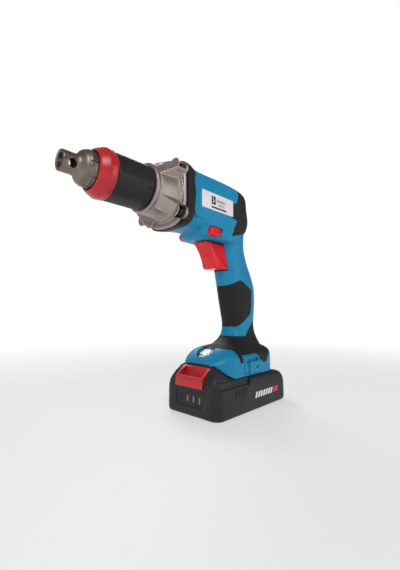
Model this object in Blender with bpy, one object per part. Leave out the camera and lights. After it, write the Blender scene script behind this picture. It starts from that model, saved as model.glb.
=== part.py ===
"""Cordless impact wrench with a long nose, built as the pieces it comes apart into.

Frame: metres, +Z up, the nose points along -X, the origin is the centre of the battery's underside.
The barrel's axis runs along X at height AXIS_Z.
"""
import math

import bmesh
import bpy
from mathutils import Matrix, Vector

# ---------------------------------------------------------------- driving dimensions (metres)
GAP = 0.0003                 # air between two pieces that touch in real life
RUN = 0.0004                 # clearance round a piece that turns or slides
WELD = 0.000002              # points closer than this are one point

AXIS_Z = 0.217               # height of the barrel's axis above the battery's underside

# battery pack: the cells lie across it in one row and set its length, width and height
CELL_RADIUS = 0.0091
CELL_LENGTH = 0.065
CELL_COUNT = 5
CELL_PITCH = 2 * CELL_RADIUS + 0.0006
PACK_WALL = 0.0022
PACK_LENGTH = CELL_COUNT * CELL_PITCH + 0.0360
PACK_WIDTH = CELL_LENGTH + 0.0100
PACK_HEIGHT = PACK_WALL + 2 * CELL_RADIUS + GAP + 0.0145
PACK_CORNER = 0.010
PACK_FRONT_X = -PACK_LENGTH / 2
PACK_SPLIT_Z = PACK_HEIGHT - 0.0172      # seam between the pack's base and its cover
PACK_RIB = 0.0015            # how far the cover's inner ribs stand in from its wall
BOARD_LOW_Z = PACK_HEIGHT - 0.0130
HOOD_BACK_X = -0.029
HOOD_TOP_X = -0.0505
HOOD_TOP_Z = PACK_HEIGHT + 0.0156

# rail under the foot
RAIL_NECK = 0.020            # half width of the pack's neck between the foot's tongues
RAIL_LIP = 0.0035            # how far the pack's lip reaches over each tongue
RAIL_NECK_HEIGHT = 0.0034
RAIL_LIP_HEIGHT = 0.0044
RAIL_HALF_LENGTH = 0.028
RAIL_FIT = 0.0004

# button and gauge on the pack's front
BUTTON_HALF_WIDTH = 0.019
BUTTON_TRAVEL = 0.004
BUTTON_LIP = 0.0015          # how far the button stands in front of the pack
BUTTON_SKIRT_Z = PACK_HEIGHT - 0.0068    # lower edge of the button's front skirt
BUTTON_SKIRT = 0.0012        # how thick the skirt is
BUTTON_LOW_Z = PACK_HEIGHT - 0.0024      # underside of the button's body
BUTTON_LIP_Z = PACK_HEIGHT + 0.0030
BUTTON_TOP_Z = PACK_HEIGHT + 0.0126
BUTTON_REAR_X = -0.0522
BUTTON_RIM = 0.0026          # rim left round the thumb hollow
BUTTON_SPRING_X = -0.0585
BUTTON_SPRING_LENGTH = 0.0100
BUTTON_SPRING_RADIUS = 0.0022
BUTTON_SPRING_WIRE = 0.0003
GAUGE_BAR_COUNT = 3
GAUGE_BAR_PITCH = 0.0082
GAUGE_BAR_HALF = 0.0010
GAUGE_BAR_LOW_Z = PACK_SPLIT_Z - 0.0042
GAUGE_BAR_TOP_Z = PACK_SPLIT_Z + 0.0020
GAUGE_FIRST_Y = 0.0028
GAUGE_BUTTON_Y = 0.0111
GAUGE_BUTTON_Z = PACK_SPLIT_Z
GAUGE_BUTTON_RADIUS = 0.0026
APRON_HALF_WIDTH = 0.0265
APRON_LOW_Z = 0.0045
APRON_DEPTH = 0.0035

# housing shell
SKIN = 0.0016                # thickness of the soft overmould
WALL = 0.0022                # plastic wall under it
HALF_WIDTH = 0.0240          # the barrel's half width at the label
HALF_UP = 0.0325
HALF_DOWN = 0.0305
BARREL_FRONT_X = -0.0957
BARREL_REAR_X = 0.021
REAR_WAIST = 0.0065          # depth of the hollow in the barrel's rear face
GRIP_HALF_WIDTH = 0.0168
FOOT_HALF_WIDTH = PACK_WIDTH / 2 - 0.0043
FOOT_UNDER_Z = PACK_HEIGHT + GAP
GRIP_LOW_Z = PACK_HEIGHT + 0.0248
GRIP_TOP_Z = AXIS_Z - 0.0140
NEAR_PLANE = 0.06            # further out than any side of the tool

# gear case and its screws
HAMMER_RADIUS = 0.0186
CASE_FRONT_X = -0.127
CASE_REAR_X = -0.0961
CASE_BORE = HAMMER_RADIUS + 0.0006
CASE_RADIUS = CASE_BORE + 0.0038
SCREW_Y = 0.0240
SCREW_Z = 0.0208
SCREW_HEAD_X = -0.1036
SCREW_HEAD_RADIUS = 0.0036
SCREW_HEAD_LENGTH = 0.0042
SCREW_RADIUS = 0.0020
SCREW_END_X = -0.0890
BOSS_RADIUS = 0.0062

# nose
NOSE_TIP_X = -0.2017
TUBE_RADIUS = 0.0083
TUBE_BORE = 0.0055
TUBE_BORE_END_X = -0.1870
CROSS_HOLE_X = -0.1940
CROSS_HOLE_RADIUS = 0.0035
COLLAR_RADIUS = 0.0146
COLLAR_FRONT_X = -0.1828
COLLAR_REAR_X = -0.1680
SHAFT_RADIUS = 0.0080
SHAFT_REAR_X = -0.1290
RING_FRONT_X = -0.1773
RING_REAR_X = -0.1634
RING_RADIUS = 0.0208
SLEEVE_RADIUS = 0.0212
SLEEVE_BORE = 0.0160
NOSE_BEARING_X = -0.1570
NOSE_BEARING_WIDTH = 0.0080

# impact mechanism
SHAFT_TURN_DEG = 19          # how far the nose shaft and anvil stand turned
ANVIL_SQUARE_FRONT_X = -0.1385
DRIVE_HALF = 0.0044          # half width of the square between anvil and nose shaft
ANVIL_HUB_RADIUS = 0.0090
WING_RADIUS = HAMMER_RADIUS - 0.0003
WING_FRONT_X = -0.1196
WING_REAR_X = -0.1132
WING_HALF_DEG = 20
LUG_HALF_DEG = 25
HAMMER_FRONT_X = -0.1126
HAMMER_REAR_X = -0.0920
HAMMER_FLOOR_X = -0.1060
HAMMER_POCKET = 0.0140
SPINDLE_RADIUS = 0.0060
SPINDLE_PILOT = 0.0040
BALL_RADIUS = 0.0020
BALL_X = -0.1092
CARRIER_FRONT_X = -0.0803
CARRIER_THICKNESS = 0.0030
CARRIER_RADIUS = 0.0164
MAIN_WIRE = 0.0013
MAIN_COIL = 0.0104
MAIN_TURNS = 5

# planetary gears
MODULE = 0.00072
SUN_TEETH = 12
PLANET_TEETH = 18
RING_TEETH = SUN_TEETH + 2 * PLANET_TEETH
PLANET_COUNT = 3
GEAR_FRONT_X = -0.0769
GEAR_WIDTH = 0.0076
ADDENDUM = 0.80              # in modules
DEDENDUM = 1.10
TOOTH_SHARE = 0.41           # of the pitch that a tooth fills on the pitch circle
PRESSURE_DEG = 20
RING_GEAR_RADIUS = 0.0205    # seats in the motor bore
PLANET_PIN_RADIUS = 0.0020

# motor
MOTOR_BORE = 0.0209          # round bore in the housing's ribs
STATOR_RADIUS = MOTOR_BORE - 0.0004
STATOR_BORE = 0.0118
STATOR_FRONT_X = -0.0520
STATOR_LENGTH = 0.0300
ROTOR_RADIUS = 0.0113
MOTOR_SHAFT_RADIUS = 0.0025
PLATE_FRONT_X = -0.0665
PLATE_THICKNESS = 0.0040
FRONT_BEARING_RADIUS = 0.0080
REAR_BEARING_RADIUS = 0.0070
REAR_BEARING_X = -0.0120
REAR_BEARING_WIDTH = 0.0050
FAN_RADIUS = 0.0185
FAN_FRONT_X = -0.0605
BOARD_RADIUS = 0.0190
BOARD_X = -0.0195
BOARD_THICKNESS = 0.0016

# trigger, switch and lever
TRIGGER_HALF_WIDTH = 0.0100
TRIGGER_TOP_Z = AXIS_Z - 0.0372
TRIGGER_LOW_Z = AXIS_Z - 0.0655
TRIGGER_REAR_X = -0.0120
TRIGGER_TRAVEL = 0.0060
SWITCH_FRONT_X = -0.0020
SWITCH_REAR_X = 0.0102
SWITCH_HALF_WIDTH = 0.0090
PLUNGER_RADIUS = 0.0020
PLUNGER_Z = AXIS_Z - 0.0510
LEVER_X = -0.0500
LEVER_Z = AXIS_Z - 0.0302
LEVER_HALF_LENGTH = 0.0082
LEVER_HALF_HEIGHT = 0.0045
LEVER_HALF_REACH = 0.0243

# lamp in the foot
LAMP_X = -0.0385
LAMP_Z = PACK_HEIGHT + 0.0248
LAMP_TILT_DEG = -33          # turn about Y from straight up towards the nose
LAMP_RADIUS = 0.0105
LAMP_DEPTH = 0.0060

# label and belt hook seat
LABEL_X = -0.0467
LABEL_HALF_LENGTH = 0.0251
LABEL_HALF_HEIGHT = 0.0091
LABEL_THICKNESS = 0.0006
HOOK_FACE_Y = FOOT_HALF_WIDTH + 0.0040   # face of the hook plate
HOOK_FRAME_Y = FOOT_HALF_WIDTH + 0.0025  # face of the strap frame behind it
HOOK_FRAME = (-0.0172, PACK_HEIGHT + 0.0040, 0.0086, PACK_HEIGHT + 0.0216)
HOOK_SLOT = (-0.0152, PACK_HEIGHT + 0.0168, 0.0066, PACK_HEIGHT + 0.0197)
HOOK_PLATE = (-0.0106, PACK_HEIGHT + 0.0038, 0.0128, PACK_HEIGHT + 0.0158)
HOOK_HOLE_X = 0.0031
HOOK_HOLE_Z = PACK_HEIGHT + 0.0094
HOOK_HOLE_RADIUS = 0.0018
HOOK_ROOT_Y = FOOT_HALF_WIDTH - 0.0022   # how deep the seat starts inside the foot

# screws that hold the two halves together: (x, z)
HOUSING_SCREWS = [
    (-0.0700, AXIS_Z + 0.0265),
    (-0.0050, AXIS_Z + 0.0235),
    (0.0170, 0.72 * GRIP_LOW_Z + 0.28 * GRIP_TOP_Z),
    (0.0290, PACK_HEIGHT + 0.0208),
]
HOUSING_SCREW_HEAD = 0.0030
HOUSING_SCREW_SHANK = 0.0013
HOUSING_SCREW_BOSS = 0.0036
HOUSING_SCREW_HEAD_Y = 0.0125
HOUSING_SCREW_END_Y = -0.0100

# terminals between the foot and the pack
TERMINAL_FRONT_X = RAIL_HALF_LENGTH + 0.0012
TERMINAL_REAR_X = 0.0355
TERMINAL_HALF_WIDTH = 0.0180
TERMINAL_TOP_Z = PACK_HEIGHT + 0.0138
BLADE_COUNT = 4
BLADE_PITCH = 0.0090
BLADE_HALF = 0.0004
BLADE_LENGTH = 0.0130
BLADE_LOW_Z = PACK_HEIGHT + 0.0023
BLADE_TOP_Z = PACK_HEIGHT + 0.0063
CLIP_X = TERMINAL_FRONT_X - BLADE_LENGTH - 0.0042

SIDES = 20                   # facets round a large turned piece and round the housing's form
HOLLOW_SIDES = 14            # facets round the housing's hollow
SMALL_SIDES = 10

COLOURS = {
    "blue": ((0.0, 0.216, 0.429), 0.42, 0.0),
    "black": ((0.014, 0.014, 0.016), 0.62, 0.0),
    "pack": ((0.018, 0.020, 0.023), 0.50, 0.0),
    "red": ((0.46, 0.013, 0.022), 0.40, 0.0),
    "bright_red": ((0.75, 0.0, 0.017), 0.22, 0.0),
    "cast": ((0.42, 0.38, 0.35), 0.40, 1.0),
    "steel": ((0.14, 0.115, 0.10), 0.32, 1.0),
    "bright_steel": ((0.55, 0.55, 0.56), 0.25, 1.0),
    "bronze": ((0.45, 0.27, 0.10), 0.40, 1.0),
    "copper": ((0.62, 0.27, 0.14), 0.35, 1.0),
    "board": ((0.01, 0.12, 0.04), 0.45, 0.0),
    "white": ((0.75, 0.73, 0.76), 0.35, 0.0),
    "clear": ((0.85, 0.88, 0.90), 0.08, 0.0),
    "cell": ((0.10, 0.35, 0.22), 0.45, 0.0),
}


# ---------------------------------------------------------------- helpers
def clear_scene():
    for old in list(bpy.data.objects):
        bpy.data.objects.remove(old, do_unlink=True)


def material(name):
    found = bpy.data.materials.get(name)
    if found:
        return found
    colour, roughness, metallic = COLOURS[name]
    made = bpy.data.materials.new(name)
    made.use_nodes = True
    shader = made.node_tree.nodes["Principled BSDF"]
    shader.inputs["Base Color"].default_value = (*colour, 1.0)
    shader.inputs["Roughness"].default_value = roughness
    shader.inputs["Metallic"].default_value = metallic
    return made


def add_object(name, mesh, colour):
    obj = bpy.data.objects.new(name, mesh)
    bpy.context.scene.collection.objects.link(obj)
    obj.data.materials.clear()
    obj.data.materials.append(material(colour))
    return obj


def from_bmesh(name, bm, colour="blue", smooth=True):
    bmesh.ops.remove_doubles(bm, verts=bm.verts, dist=0.000001)
    bmesh.ops.recalc_face_normals(bm, faces=bm.faces)
    bmesh.ops.triangulate(bm, faces=bm.faces)
    mesh = bpy.data.meshes.new(name)
    bm.to_mesh(mesh)
    bm.free()
    if smooth:
        mesh.shade_smooth()
        mesh.set_sharp_from_angle(angle=math.radians(35))
    return add_object(name, mesh, colour)


def tidy(mesh):
    """Weld and flatten what a Boolean leaves behind, and say whether the surface is closed."""
    bm = bmesh.new()
    bm.from_mesh(mesh)
    bmesh.ops.remove_doubles(bm, verts=bm.verts, dist=WELD)
    bmesh.ops.dissolve_degenerate(bm, edges=bm.edges, dist=WELD)
    bmesh.ops.dissolve_limit(bm, angle_limit=math.radians(0.1), verts=bm.verts, edges=bm.edges)
    bmesh.ops.triangulate(bm, faces=bm.faces)
    closed = len(bm.faces) > 0 and all(edge.is_manifold for edge in bm.edges)
    bm.to_mesh(mesh)
    bm.free()
    return closed


def boolean_result(target, tool, operation, solver):
    step = target.modifiers.new("step", "BOOLEAN")
    step.operation = operation
    step.object = tool
    step.solver = solver
    graph = bpy.context.evaluated_depsgraph_get()
    result = bpy.data.meshes.new_from_object(target.evaluated_get(graph))
    target.modifiers.remove(step)
    return result


def boolean(target, tool, operation, keep=False):
    """Join, cut or intersect target with tool. MANIFOLD takes over where EXACT leaves an open edge."""
    tool.hide_render = True
    tool.display_type = "WIRE"
    result = boolean_result(target, tool, operation, "EXACT")
    if not tidy(result):
        result = boolean_result(target, tool, operation, "MANIFOLD")
        tidy(result)
    target.data = result
    if not keep:
        bpy.data.objects.remove(tool, do_unlink=True)
    return target


def cut(target, *tools):
    for tool in tools:
        boolean(target, tool, "DIFFERENCE")
    return target


def join(target, *tools):
    for tool in tools:
        boolean(target, tool, "UNION")
    return target


def copy_of(obj, name, colour=None):
    twin = add_object(name, obj.data.copy(), colour or obj.data.materials[0].name)
    twin.matrix_world = obj.matrix_world.copy()
    return twin


def drop(*objects):
    for obj in objects:
        bpy.data.objects.remove(obj, do_unlink=True)


def turned(name, profile, colour="steel", sides=SIDES, axis_z=AXIS_Z, axis_y=0.0):
    """Spin a closed profile of (x, radius) points about a line along X."""
    bm = bmesh.new()
    verts = [bm.verts.new((x, 0.0, radius)) for x, radius in profile]
    edges = []
    for first, second in zip(verts, verts[1:] + verts[:1]):
        on_axis = max(first.co.z, second.co.z) < 1e-7
        if not on_axis:
            edges.append(bm.edges.new((first, second)))
    bmesh.ops.spin(
        bm, geom=verts + edges, cent=(0, 0, 0), axis=(1, 0, 0), dvec=(0, 0, 0),
        angle=math.tau, steps=sides, use_merge=True, use_duplicate=False)
    bmesh.ops.translate(bm, verts=bm.verts, vec=(0, axis_y, axis_z))
    return from_bmesh(name, bm, colour)


def tube(name, x_from, x_to, outer, inner, colour="steel", sides=SIDES):
    return turned(name, [(x_from, inner), (x_from, outer), (x_to, outer), (x_to, inner)], colour, sides)


def rod(name, x_from, x_to, radius, colour="steel", sides=SIDES, y=0.0, z=AXIS_Z):
    return turned(name, [(x_from, 0), (x_from, radius), (x_to, radius), (x_to, 0)], colour, sides, z, y)


def box(name, low, high, colour="blue"):
    bm = bmesh.new()
    bmesh.ops.create_cube(bm, size=1.0)
    size = [high[i] - low[i] for i in range(3)]
    middle = [(high[i] + low[i]) / 2 for i in range(3)]
    bmesh.ops.scale(bm, vec=size, verts=bm.verts)
    bmesh.ops.translate(bm, vec=middle, verts=bm.verts)
    return from_bmesh(name, bm, colour, smooth=False)


def prism(name, outline, axis, low, high, colour="blue", holes=()):
    """Extrude a flat outline, with any holes, along an axis. Its points hold the other two axes in order."""
    index = "XYZ".index(axis)
    bm = bmesh.new()
    for loop in (outline, *holes):
        verts = []
        for first, second in loop:
            place = [first, second]
            place.insert(index, low)
            verts.append(bm.verts.new(place))
        for before, after in zip(verts, verts[1:] + verts[:1]):
            bm.edges.new((before, after))
    bmesh.ops.triangle_fill(bm, use_beauty=True, use_dissolve=False, edges=bm.edges[:])
    pushed = bmesh.ops.extrude_face_region(bm, geom=bm.faces[:] + bm.edges[:] + bm.verts[:])
    moved = [item for item in pushed["geom"] if isinstance(item, bmesh.types.BMVert)]
    shift = [0.0, 0.0, 0.0]
    shift[index] = high - low
    bmesh.ops.translate(bm, verts=moved, vec=shift)
    return from_bmesh(name, bm, colour)


def circle(centre, radius, sides=SMALL_SIDES):
    steps = [math.tau * (i + 0.5) / sides for i in range(sides)]
    return [(centre[0] + radius * math.cos(a), centre[1] + radius * math.sin(a)) for a in steps]


def rounded_rectangle(half_a, half_b, corner, steps=4):
    outline = []
    for quarter, (sign_a, sign_b) in enumerate([(1, 1), (-1, 1), (-1, -1), (1, -1)]):
        for step in range(steps + 1):
            angle = math.pi / 2 * (quarter + step / steps)
            across = sign_a * (half_a - corner) + corner * math.cos(angle)
            along = sign_b * (half_b - corner) + corner * math.sin(angle)
            outline.append((across, along))
    return outline


def inset_outline(outline, amount):
    """Move every edge of a counter-clockwise outline inwards by amount."""
    moved = []
    count = len(outline)
    for index, corner in enumerate(outline):
        before = Vector(corner) - Vector(outline[index - 1])
        after = Vector(outline[(index + 1) % count]) - Vector(corner)
        normal_before = Vector((-before.y, before.x)).normalized()
        normal_after = Vector((-after.y, after.x)).normalized()
        middle = (normal_before + normal_after).normalized()
        reach = amount / max(0.35, middle.dot(normal_before))
        moved.append((corner[0] + middle.x * reach, corner[1] + middle.y * reach))
    return moved


def loft(name, rings, colour="blue"):
    """Join closed rings of points with bridge_loops and cap both ends."""
    bm = bmesh.new()
    loops = []
    for ring in rings:
        verts = [bm.verts.new(point) for point in ring]
        loops.append([bm.edges.new((verts[i - 1], verts[i])) for i in range(len(verts))])
        if ring is rings[0] or ring is rings[-1]:
            bm.faces.new(verts)
    for first, second in zip(loops, loops[1:]):
        bmesh.ops.bridge_loops(bm, edges=first + second)
    return from_bmesh(name, bm, colour)


def super_point(angle, power):
    c, s = math.cos(angle), math.sin(angle)
    return math.copysign(abs(c) ** (2 / power), c), math.copysign(abs(s) ** (2 / power), s)


def tooth_half_angle(radius, teeth, share):
    """Half the angle that an involute tooth fills at a radius."""
    pitch_radius = MODULE * teeth / 2
    base_radius = pitch_radius * math.cos(math.radians(PRESSURE_DEG))
    pressure = math.radians(PRESSURE_DEG)
    at_radius = math.acos(min(1.0, base_radius / max(radius, base_radius)))
    involute_pitch = math.tan(pressure) - pressure
    involute_here = math.tan(at_radius) - at_radius
    return math.pi * share / teeth + involute_pitch - involute_here


def gear_outline(teeth, phase, outward=True, steps=2):
    """Outline of a gear in (y, z) about the centre. A ring gear's space is cut with the same shape."""
    pitch_radius = MODULE * teeth / 2
    if outward:
        low, high, share = pitch_radius - DEDENDUM * MODULE, pitch_radius + ADDENDUM * MODULE, TOOTH_SHARE
    else:
        low, high = pitch_radius - ADDENDUM * MODULE, pitch_radius + DEDENDUM * MODULE
        share = 1 - TOOTH_SHARE
    outline = []
    for tooth in range(teeth):
        middle = math.tau * tooth / teeth + phase
        radii = [low + (high - low) * step / (steps - 1) for step in range(steps)]
        flank = [(radius, tooth_half_angle(radius, teeth, share)) for radius in radii]
        for radius, half in flank:
            outline.append((radius * math.cos(middle - half), radius * math.sin(middle - half)))
        for radius, half in reversed(flank):
            outline.append((radius * math.cos(middle + half), radius * math.sin(middle + half)))
    return outline


def ring_prism(name, outer, inner, x_from, x_to, colour):
    """A plate with an outline outside and another inside, both in (y, z) about the barrel's axis."""
    outer, inner = [[(y, z + AXIS_Z) for y, z in outline] for outline in (outer, inner)]
    return prism(name, outer, "X", x_from, x_to, colour, holes=[inner])


def coil(name, start, direction, length, radius, wire, turns, colour="bright_steel"):
    """A helical spring: a four-sided wire swept along a computed helix, with capped ends."""
    per_turn = 8
    total = per_turn * turns
    along = Vector(direction).normalized()
    across = along.orthogonal().normalized()
    beside = along.cross(across)
    rings = []
    for step in range(total + 1):
        angle = math.tau * step / per_turn
        spoke = across * math.cos(angle) + beside * math.sin(angle)
        centre = Vector(start) + along * (wire + (length - 2 * wire) * step / total) + spoke * radius
        corners = [math.tau * k / 4 for k in range(4)]
        rings.append([centre + spoke * wire * math.cos(a) + along * wire * math.sin(a) for a in corners])
    return loft(name, rings, colour)


# ---------------------------------------------------------------- outer form of the housing
def barrel_rings(inset, x_from, x_to, sides=SIDES):
    """Rings along X: x, half width, half height up, half height down, squareness."""
    stations = [
        (BARREL_FRONT_X, HALF_WIDTH + 0.0062, HALF_UP - 0.0002, HALF_DOWN + 0.0018, 4.2),
        (-0.0890, HALF_WIDTH + 0.0050, HALF_UP - 0.0002, HALF_DOWN + 0.0012, 4.2),
        (-0.0830, HALF_WIDTH + 0.0026, HALF_UP - 0.0005, HALF_DOWN + 0.0004, 4.0),
        (-0.0740, HALF_WIDTH, HALF_UP - 0.0005, HALF_DOWN, 3.6),
        (-0.0600, HALF_WIDTH, HALF_UP - 0.0003, HALF_DOWN, 3.4),
        (-0.0350, HALF_WIDTH, HALF_UP, HALF_DOWN, 3.4),
        (-0.0120, HALF_WIDTH, HALF_UP, HALF_DOWN - 0.0005, 3.2),
        (0.0050, HALF_WIDTH - 0.0015, HALF_UP - 0.0010, HALF_DOWN - 0.0025, 3.0),
        (0.0140, HALF_WIDTH - 0.0045, HALF_UP - 0.0035, HALF_DOWN - 0.0055, 2.8),
        (BARREL_REAR_X - inset, HALF_WIDTH - 0.0105, HALF_UP - 0.0105, HALF_DOWN - 0.0125, 2.4),
    ]
    rings = []
    for x, half, up, down, power in stations:
        if x < x_from - 1e-6 or x > x_to + 1e-6:
            continue
        depth = max(0.0, (x - 0.0050) / (BARREL_REAR_X - 0.0050))
        ring = []
        for step in range(sides):
            across, rise = super_point(math.tau * step / sides, power)
            height = rise * ((up if rise > 0 else down) - inset)
            waist = depth * REAR_WAIST * math.exp(-((height - 0.009) / 0.011) ** 2)
            low_edge = depth * 0.0035 * max(0.0, -height / HALF_DOWN)
            ring.append((x - waist - low_edge, across * (half - inset), AXIS_Z + height))
        rings.append(ring)
    return rings


def up_grip(share):
    """Height at a share of the way from the foot (0) up to the barrel (1)."""
    return GRIP_LOW_Z + share * (GRIP_TOP_Z - GRIP_LOW_Z)


def grip_rings(inset, sides=SIDES):
    """Rings up the handle: share of its height, front x, rear x, half width."""
    wide = GRIP_HALF_WIDTH
    stations = [
        (0.000, -0.0260, 0.0440, wide + 0.0120),
        (0.045, -0.0170, 0.0435, wide + 0.0065),
        (0.091, -0.0080, 0.0410, wide + 0.0022),
        (0.140, -0.0035, 0.0385, wide - 0.0003),
        (0.210, -0.0020, 0.0365, wide - 0.0008),
        (0.280, -0.0035, 0.0372, wide - 0.0002),
        (0.406, -0.0080, 0.0390, wide + 0.0004),
        (0.517, -0.0120, 0.0385, wide),
        (0.615, -0.0155, 0.0325, wide - 0.0004),
        (0.699, -0.0180, 0.0250, wide - 0.0005),
        (0.811, -0.0225, 0.0180, wide),
        (0.895, -0.0270, 0.0160, wide + 0.0015),
        (1.000, -0.0330, 0.0165, wide + 0.0035),
    ]
    return [
        [(
            (front + rear) / 2 + across * ((rear - front) / 2 - inset),
            side * (half - inset),
            up_grip(share),
        ) for across, side in [super_point(math.tau * step / sides, 2.7) for step in range(sides)]]
        for share, front, rear, half in stations
    ]


def neck_rings(inset, sides=SIDES):
    """Rings up the block between trigger and barrel: z, front x, rear x, half width."""
    stations = [
        (AXIS_Z - 0.0364 + inset, -0.0590, -0.0080, 0.0185),
        (AXIS_Z - 0.0340 + inset, -0.0635, -0.0040, 0.0212),
        (AXIS_Z - 0.0270, -0.0660, 0.0000, 0.0226),
        (AXIS_Z - 0.0120, -0.0670, 0.0020, 0.0228),
    ]
    return [
        [(
            (front + rear) / 2 + across * ((rear - front) / 2 - inset),
            side * (half - inset),
            z,
        ) for across, side in [super_point(math.tau * step / sides, 4.0) for step in range(sides)]]
        for z, front, rear, half in stations
    ]


def foot_rings(inset):
    """Rings along X: x, half width, then how far the side and the top rise above the pack."""
    stations = [
        (-0.0520 + inset, FOOT_HALF_WIDTH - 0.0142, 0.0148, 0.0183),
        (-0.0470, FOOT_HALF_WIDTH - 0.0082, 0.0128, 0.0233),
        (-0.0390, FOOT_HALF_WIDTH - 0.0032, 0.0138, 0.0288),
        (-0.0290, FOOT_HALF_WIDTH, 0.0158, 0.0316),
        (0.0000, FOOT_HALF_WIDTH, 0.0158, 0.0338),
        (0.0260, FOOT_HALF_WIDTH, 0.0178, 0.0338),
        (0.0370, FOOT_HALF_WIDTH - 0.0010, 0.0198, 0.0318),
        (0.0440 - inset, FOOT_HALF_WIDTH - 0.0080, 0.0198, 0.0278),
    ]
    arc = 8
    rings = []
    for x, half, side_rise, top_rise in stations:
        half = half - inset
        side_z = PACK_HEIGHT + side_rise - inset / 2
        top_z = PACK_HEIGHT + top_rise - inset
        ring = [(x, half, FOOT_UNDER_Z), (x, half, side_z)]
        for step in range(1, arc):
            across, rise = super_point(math.pi * step / arc, 2.3)
            ring.append((x, across * half, side_z + rise * (top_z - side_z)))
        ring.append((x, -half, side_z))
        ring.append((x, -half, FOOT_UNDER_Z))
        rings.append(ring)
    return rings


def housing_form(name, inset):
    form = loft(name, barrel_rings(inset, BARREL_FRONT_X, BARREL_REAR_X))
    neck = loft("neck", neck_rings(inset))
    grip = loft("grip", grip_rings(inset))
    foot = loft("foot", foot_rings(inset))
    return join(form, neck, grip, foot)


def seat_block(name, side, corners, face_y):
    """A block on one side of the foot, from inside its wall out to face_y."""
    low_x, low_z, high_x, high_z = corners
    reach = sorted((side * HOOK_ROOT_Y, side * face_y))
    return box(name, (low_x, reach[0], low_z), (high_x, reach[1], high_z))


def hook_seats(form):
    """The seat for a belt hook on each side of the foot: a slotted strap frame and a drilled plate."""
    for side in (-1, 1):
        frame = seat_block("frame", side, HOOK_FRAME, HOOK_FRAME_Y)
        slot = seat_block("slot", side, HOOK_SLOT, HOOK_FRAME_Y + 0.001)
        plate = seat_block("plate", side, HOOK_PLATE, HOOK_FACE_Y)
        ends = sorted((side * (HOOK_ROOT_Y + 0.0010), side * (HOOK_FACE_Y + 0.0010)))
        hole = prism("hole", circle((HOOK_HOLE_X, HOOK_HOLE_Z), HOOK_HOLE_RADIUS), "Y", *ends)
        join(form, frame, plate)
        cut(form, slot, hole)
    return form


BAND_OUTLINE = [
    (-0.0970, AXIS_Z - 0.0370),
    (-0.0860, AXIS_Z - 0.0370),
    (-0.0865, AXIS_Z - 0.0280),
    (-0.0818, AXIS_Z - 0.0200),
    (-0.0843, AXIS_Z - 0.0140),
    (-0.0820, AXIS_Z),
    (-0.0845, AXIS_Z + 0.0130),
    (-0.0792, AXIS_Z + 0.0240),
    (-0.0770, AXIS_Z + 0.0370),
    (-0.0970, AXIS_Z + 0.0370),
]
CAP_OUTLINE = [
    (-0.0215, AXIS_Z - 0.0300),
    (0.0160, AXIS_Z - 0.0190),
    (0.0300, AXIS_Z - 0.0180),
    (0.0300, AXIS_Z + 0.0370),
    (-0.0050, AXIS_Z + 0.0370),
    (-0.0060, AXIS_Z + 0.0260),
    (-0.0140, AXIS_Z + 0.0090),
    (-0.0260, AXIS_Z + 0.0040),
    (-0.0260, AXIS_Z - 0.0100),
    (-0.0130, AXIS_Z - 0.0113),
]
PANEL_OUTLINE = [
    (-0.0500, up_grip(0.184)),
    (0.0011, up_grip(0.187)),
    (0.0211, up_grip(0.297)),
    (0.0232, up_grip(0.490)),
    (0.0020, up_grip(0.566)),
    (-0.0140, up_grip(0.510)),
    (-0.0500, up_grip(0.469)),
]
SKIRT_OUTLINE = [
    (-0.0500, up_grip(0.063)),
    (-0.0300, PACK_HEIGHT + 0.0303),
    (-0.0249, PACK_HEIGHT + 0.0243),
    (-0.0230, PACK_HEIGHT + 0.0152),
    (-0.0182, PACK_HEIGHT + 0.0150),
    (-0.0182, PACK_HEIGHT + 0.0228),
    (0.0096, PACK_HEIGHT + 0.0228),
    (0.0136, PACK_HEIGHT + 0.0168),
    (0.0142, PACK_HEIGHT + 0.0125),
    (0.0264, PACK_HEIGHT + 0.0117),
    (0.0362, PACK_HEIGHT + 0.0258),
    (0.0600, up_grip(0.042)),
    (0.0600, AXIS_Z - 0.0270),
    (0.0130, AXIS_Z - 0.0270),
    (0.0120, AXIS_Z - 0.0410),
    (0.0180, AXIS_Z - 0.0570),
    (0.0324, up_grip(0.559)),
    (0.0326, up_grip(0.278)),
    (0.0091, up_grip(0.113)),
    (-0.0500, up_grip(0.122)),
]
OVERMOULDS = {
    "front_band": BAND_OUTLINE,
    "rear_cap": CAP_OUTLINE,
    "grip_panel": PANEL_OUTLINE,
    "grip_skirt": SKIRT_OUTLINE,
}


def region(outline, amount=0.0):
    flat = inset_outline(outline, amount) if amount else outline
    return prism("region", flat, "Y", -NEAR_PLANE, NEAR_PLANE)


def overmould(name, outline, form, core, colour="black"):
    """The part of the soft skin inside one outline: outer form inside the outline, less the core."""
    piece = copy_of(form, name, colour)
    boolean(piece, region(outline, GAP), "INTERSECT")
    boolean(piece, core, "DIFFERENCE", keep=True)
    piece.data.materials.clear()
    piece.data.materials.append(material(colour))
    return piece


def halve(piece, left_name, right_name, colour):
    """Split a piece at the tool's middle plane into its two halves."""
    left = piece
    left.name = left_name
    right = copy_of(piece, right_name, colour)
    far = 0.3
    cut(left, box("away", (-far, -GAP / 2, -far), (far, far, far * 2)))
    cut(right, box("away", (-far, -far, -far), (far, GAP / 2, far * 2)))
    for half in (left, right):
        half.data.materials.clear()
        half.data.materials.append(material(colour))
    return left, right


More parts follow.
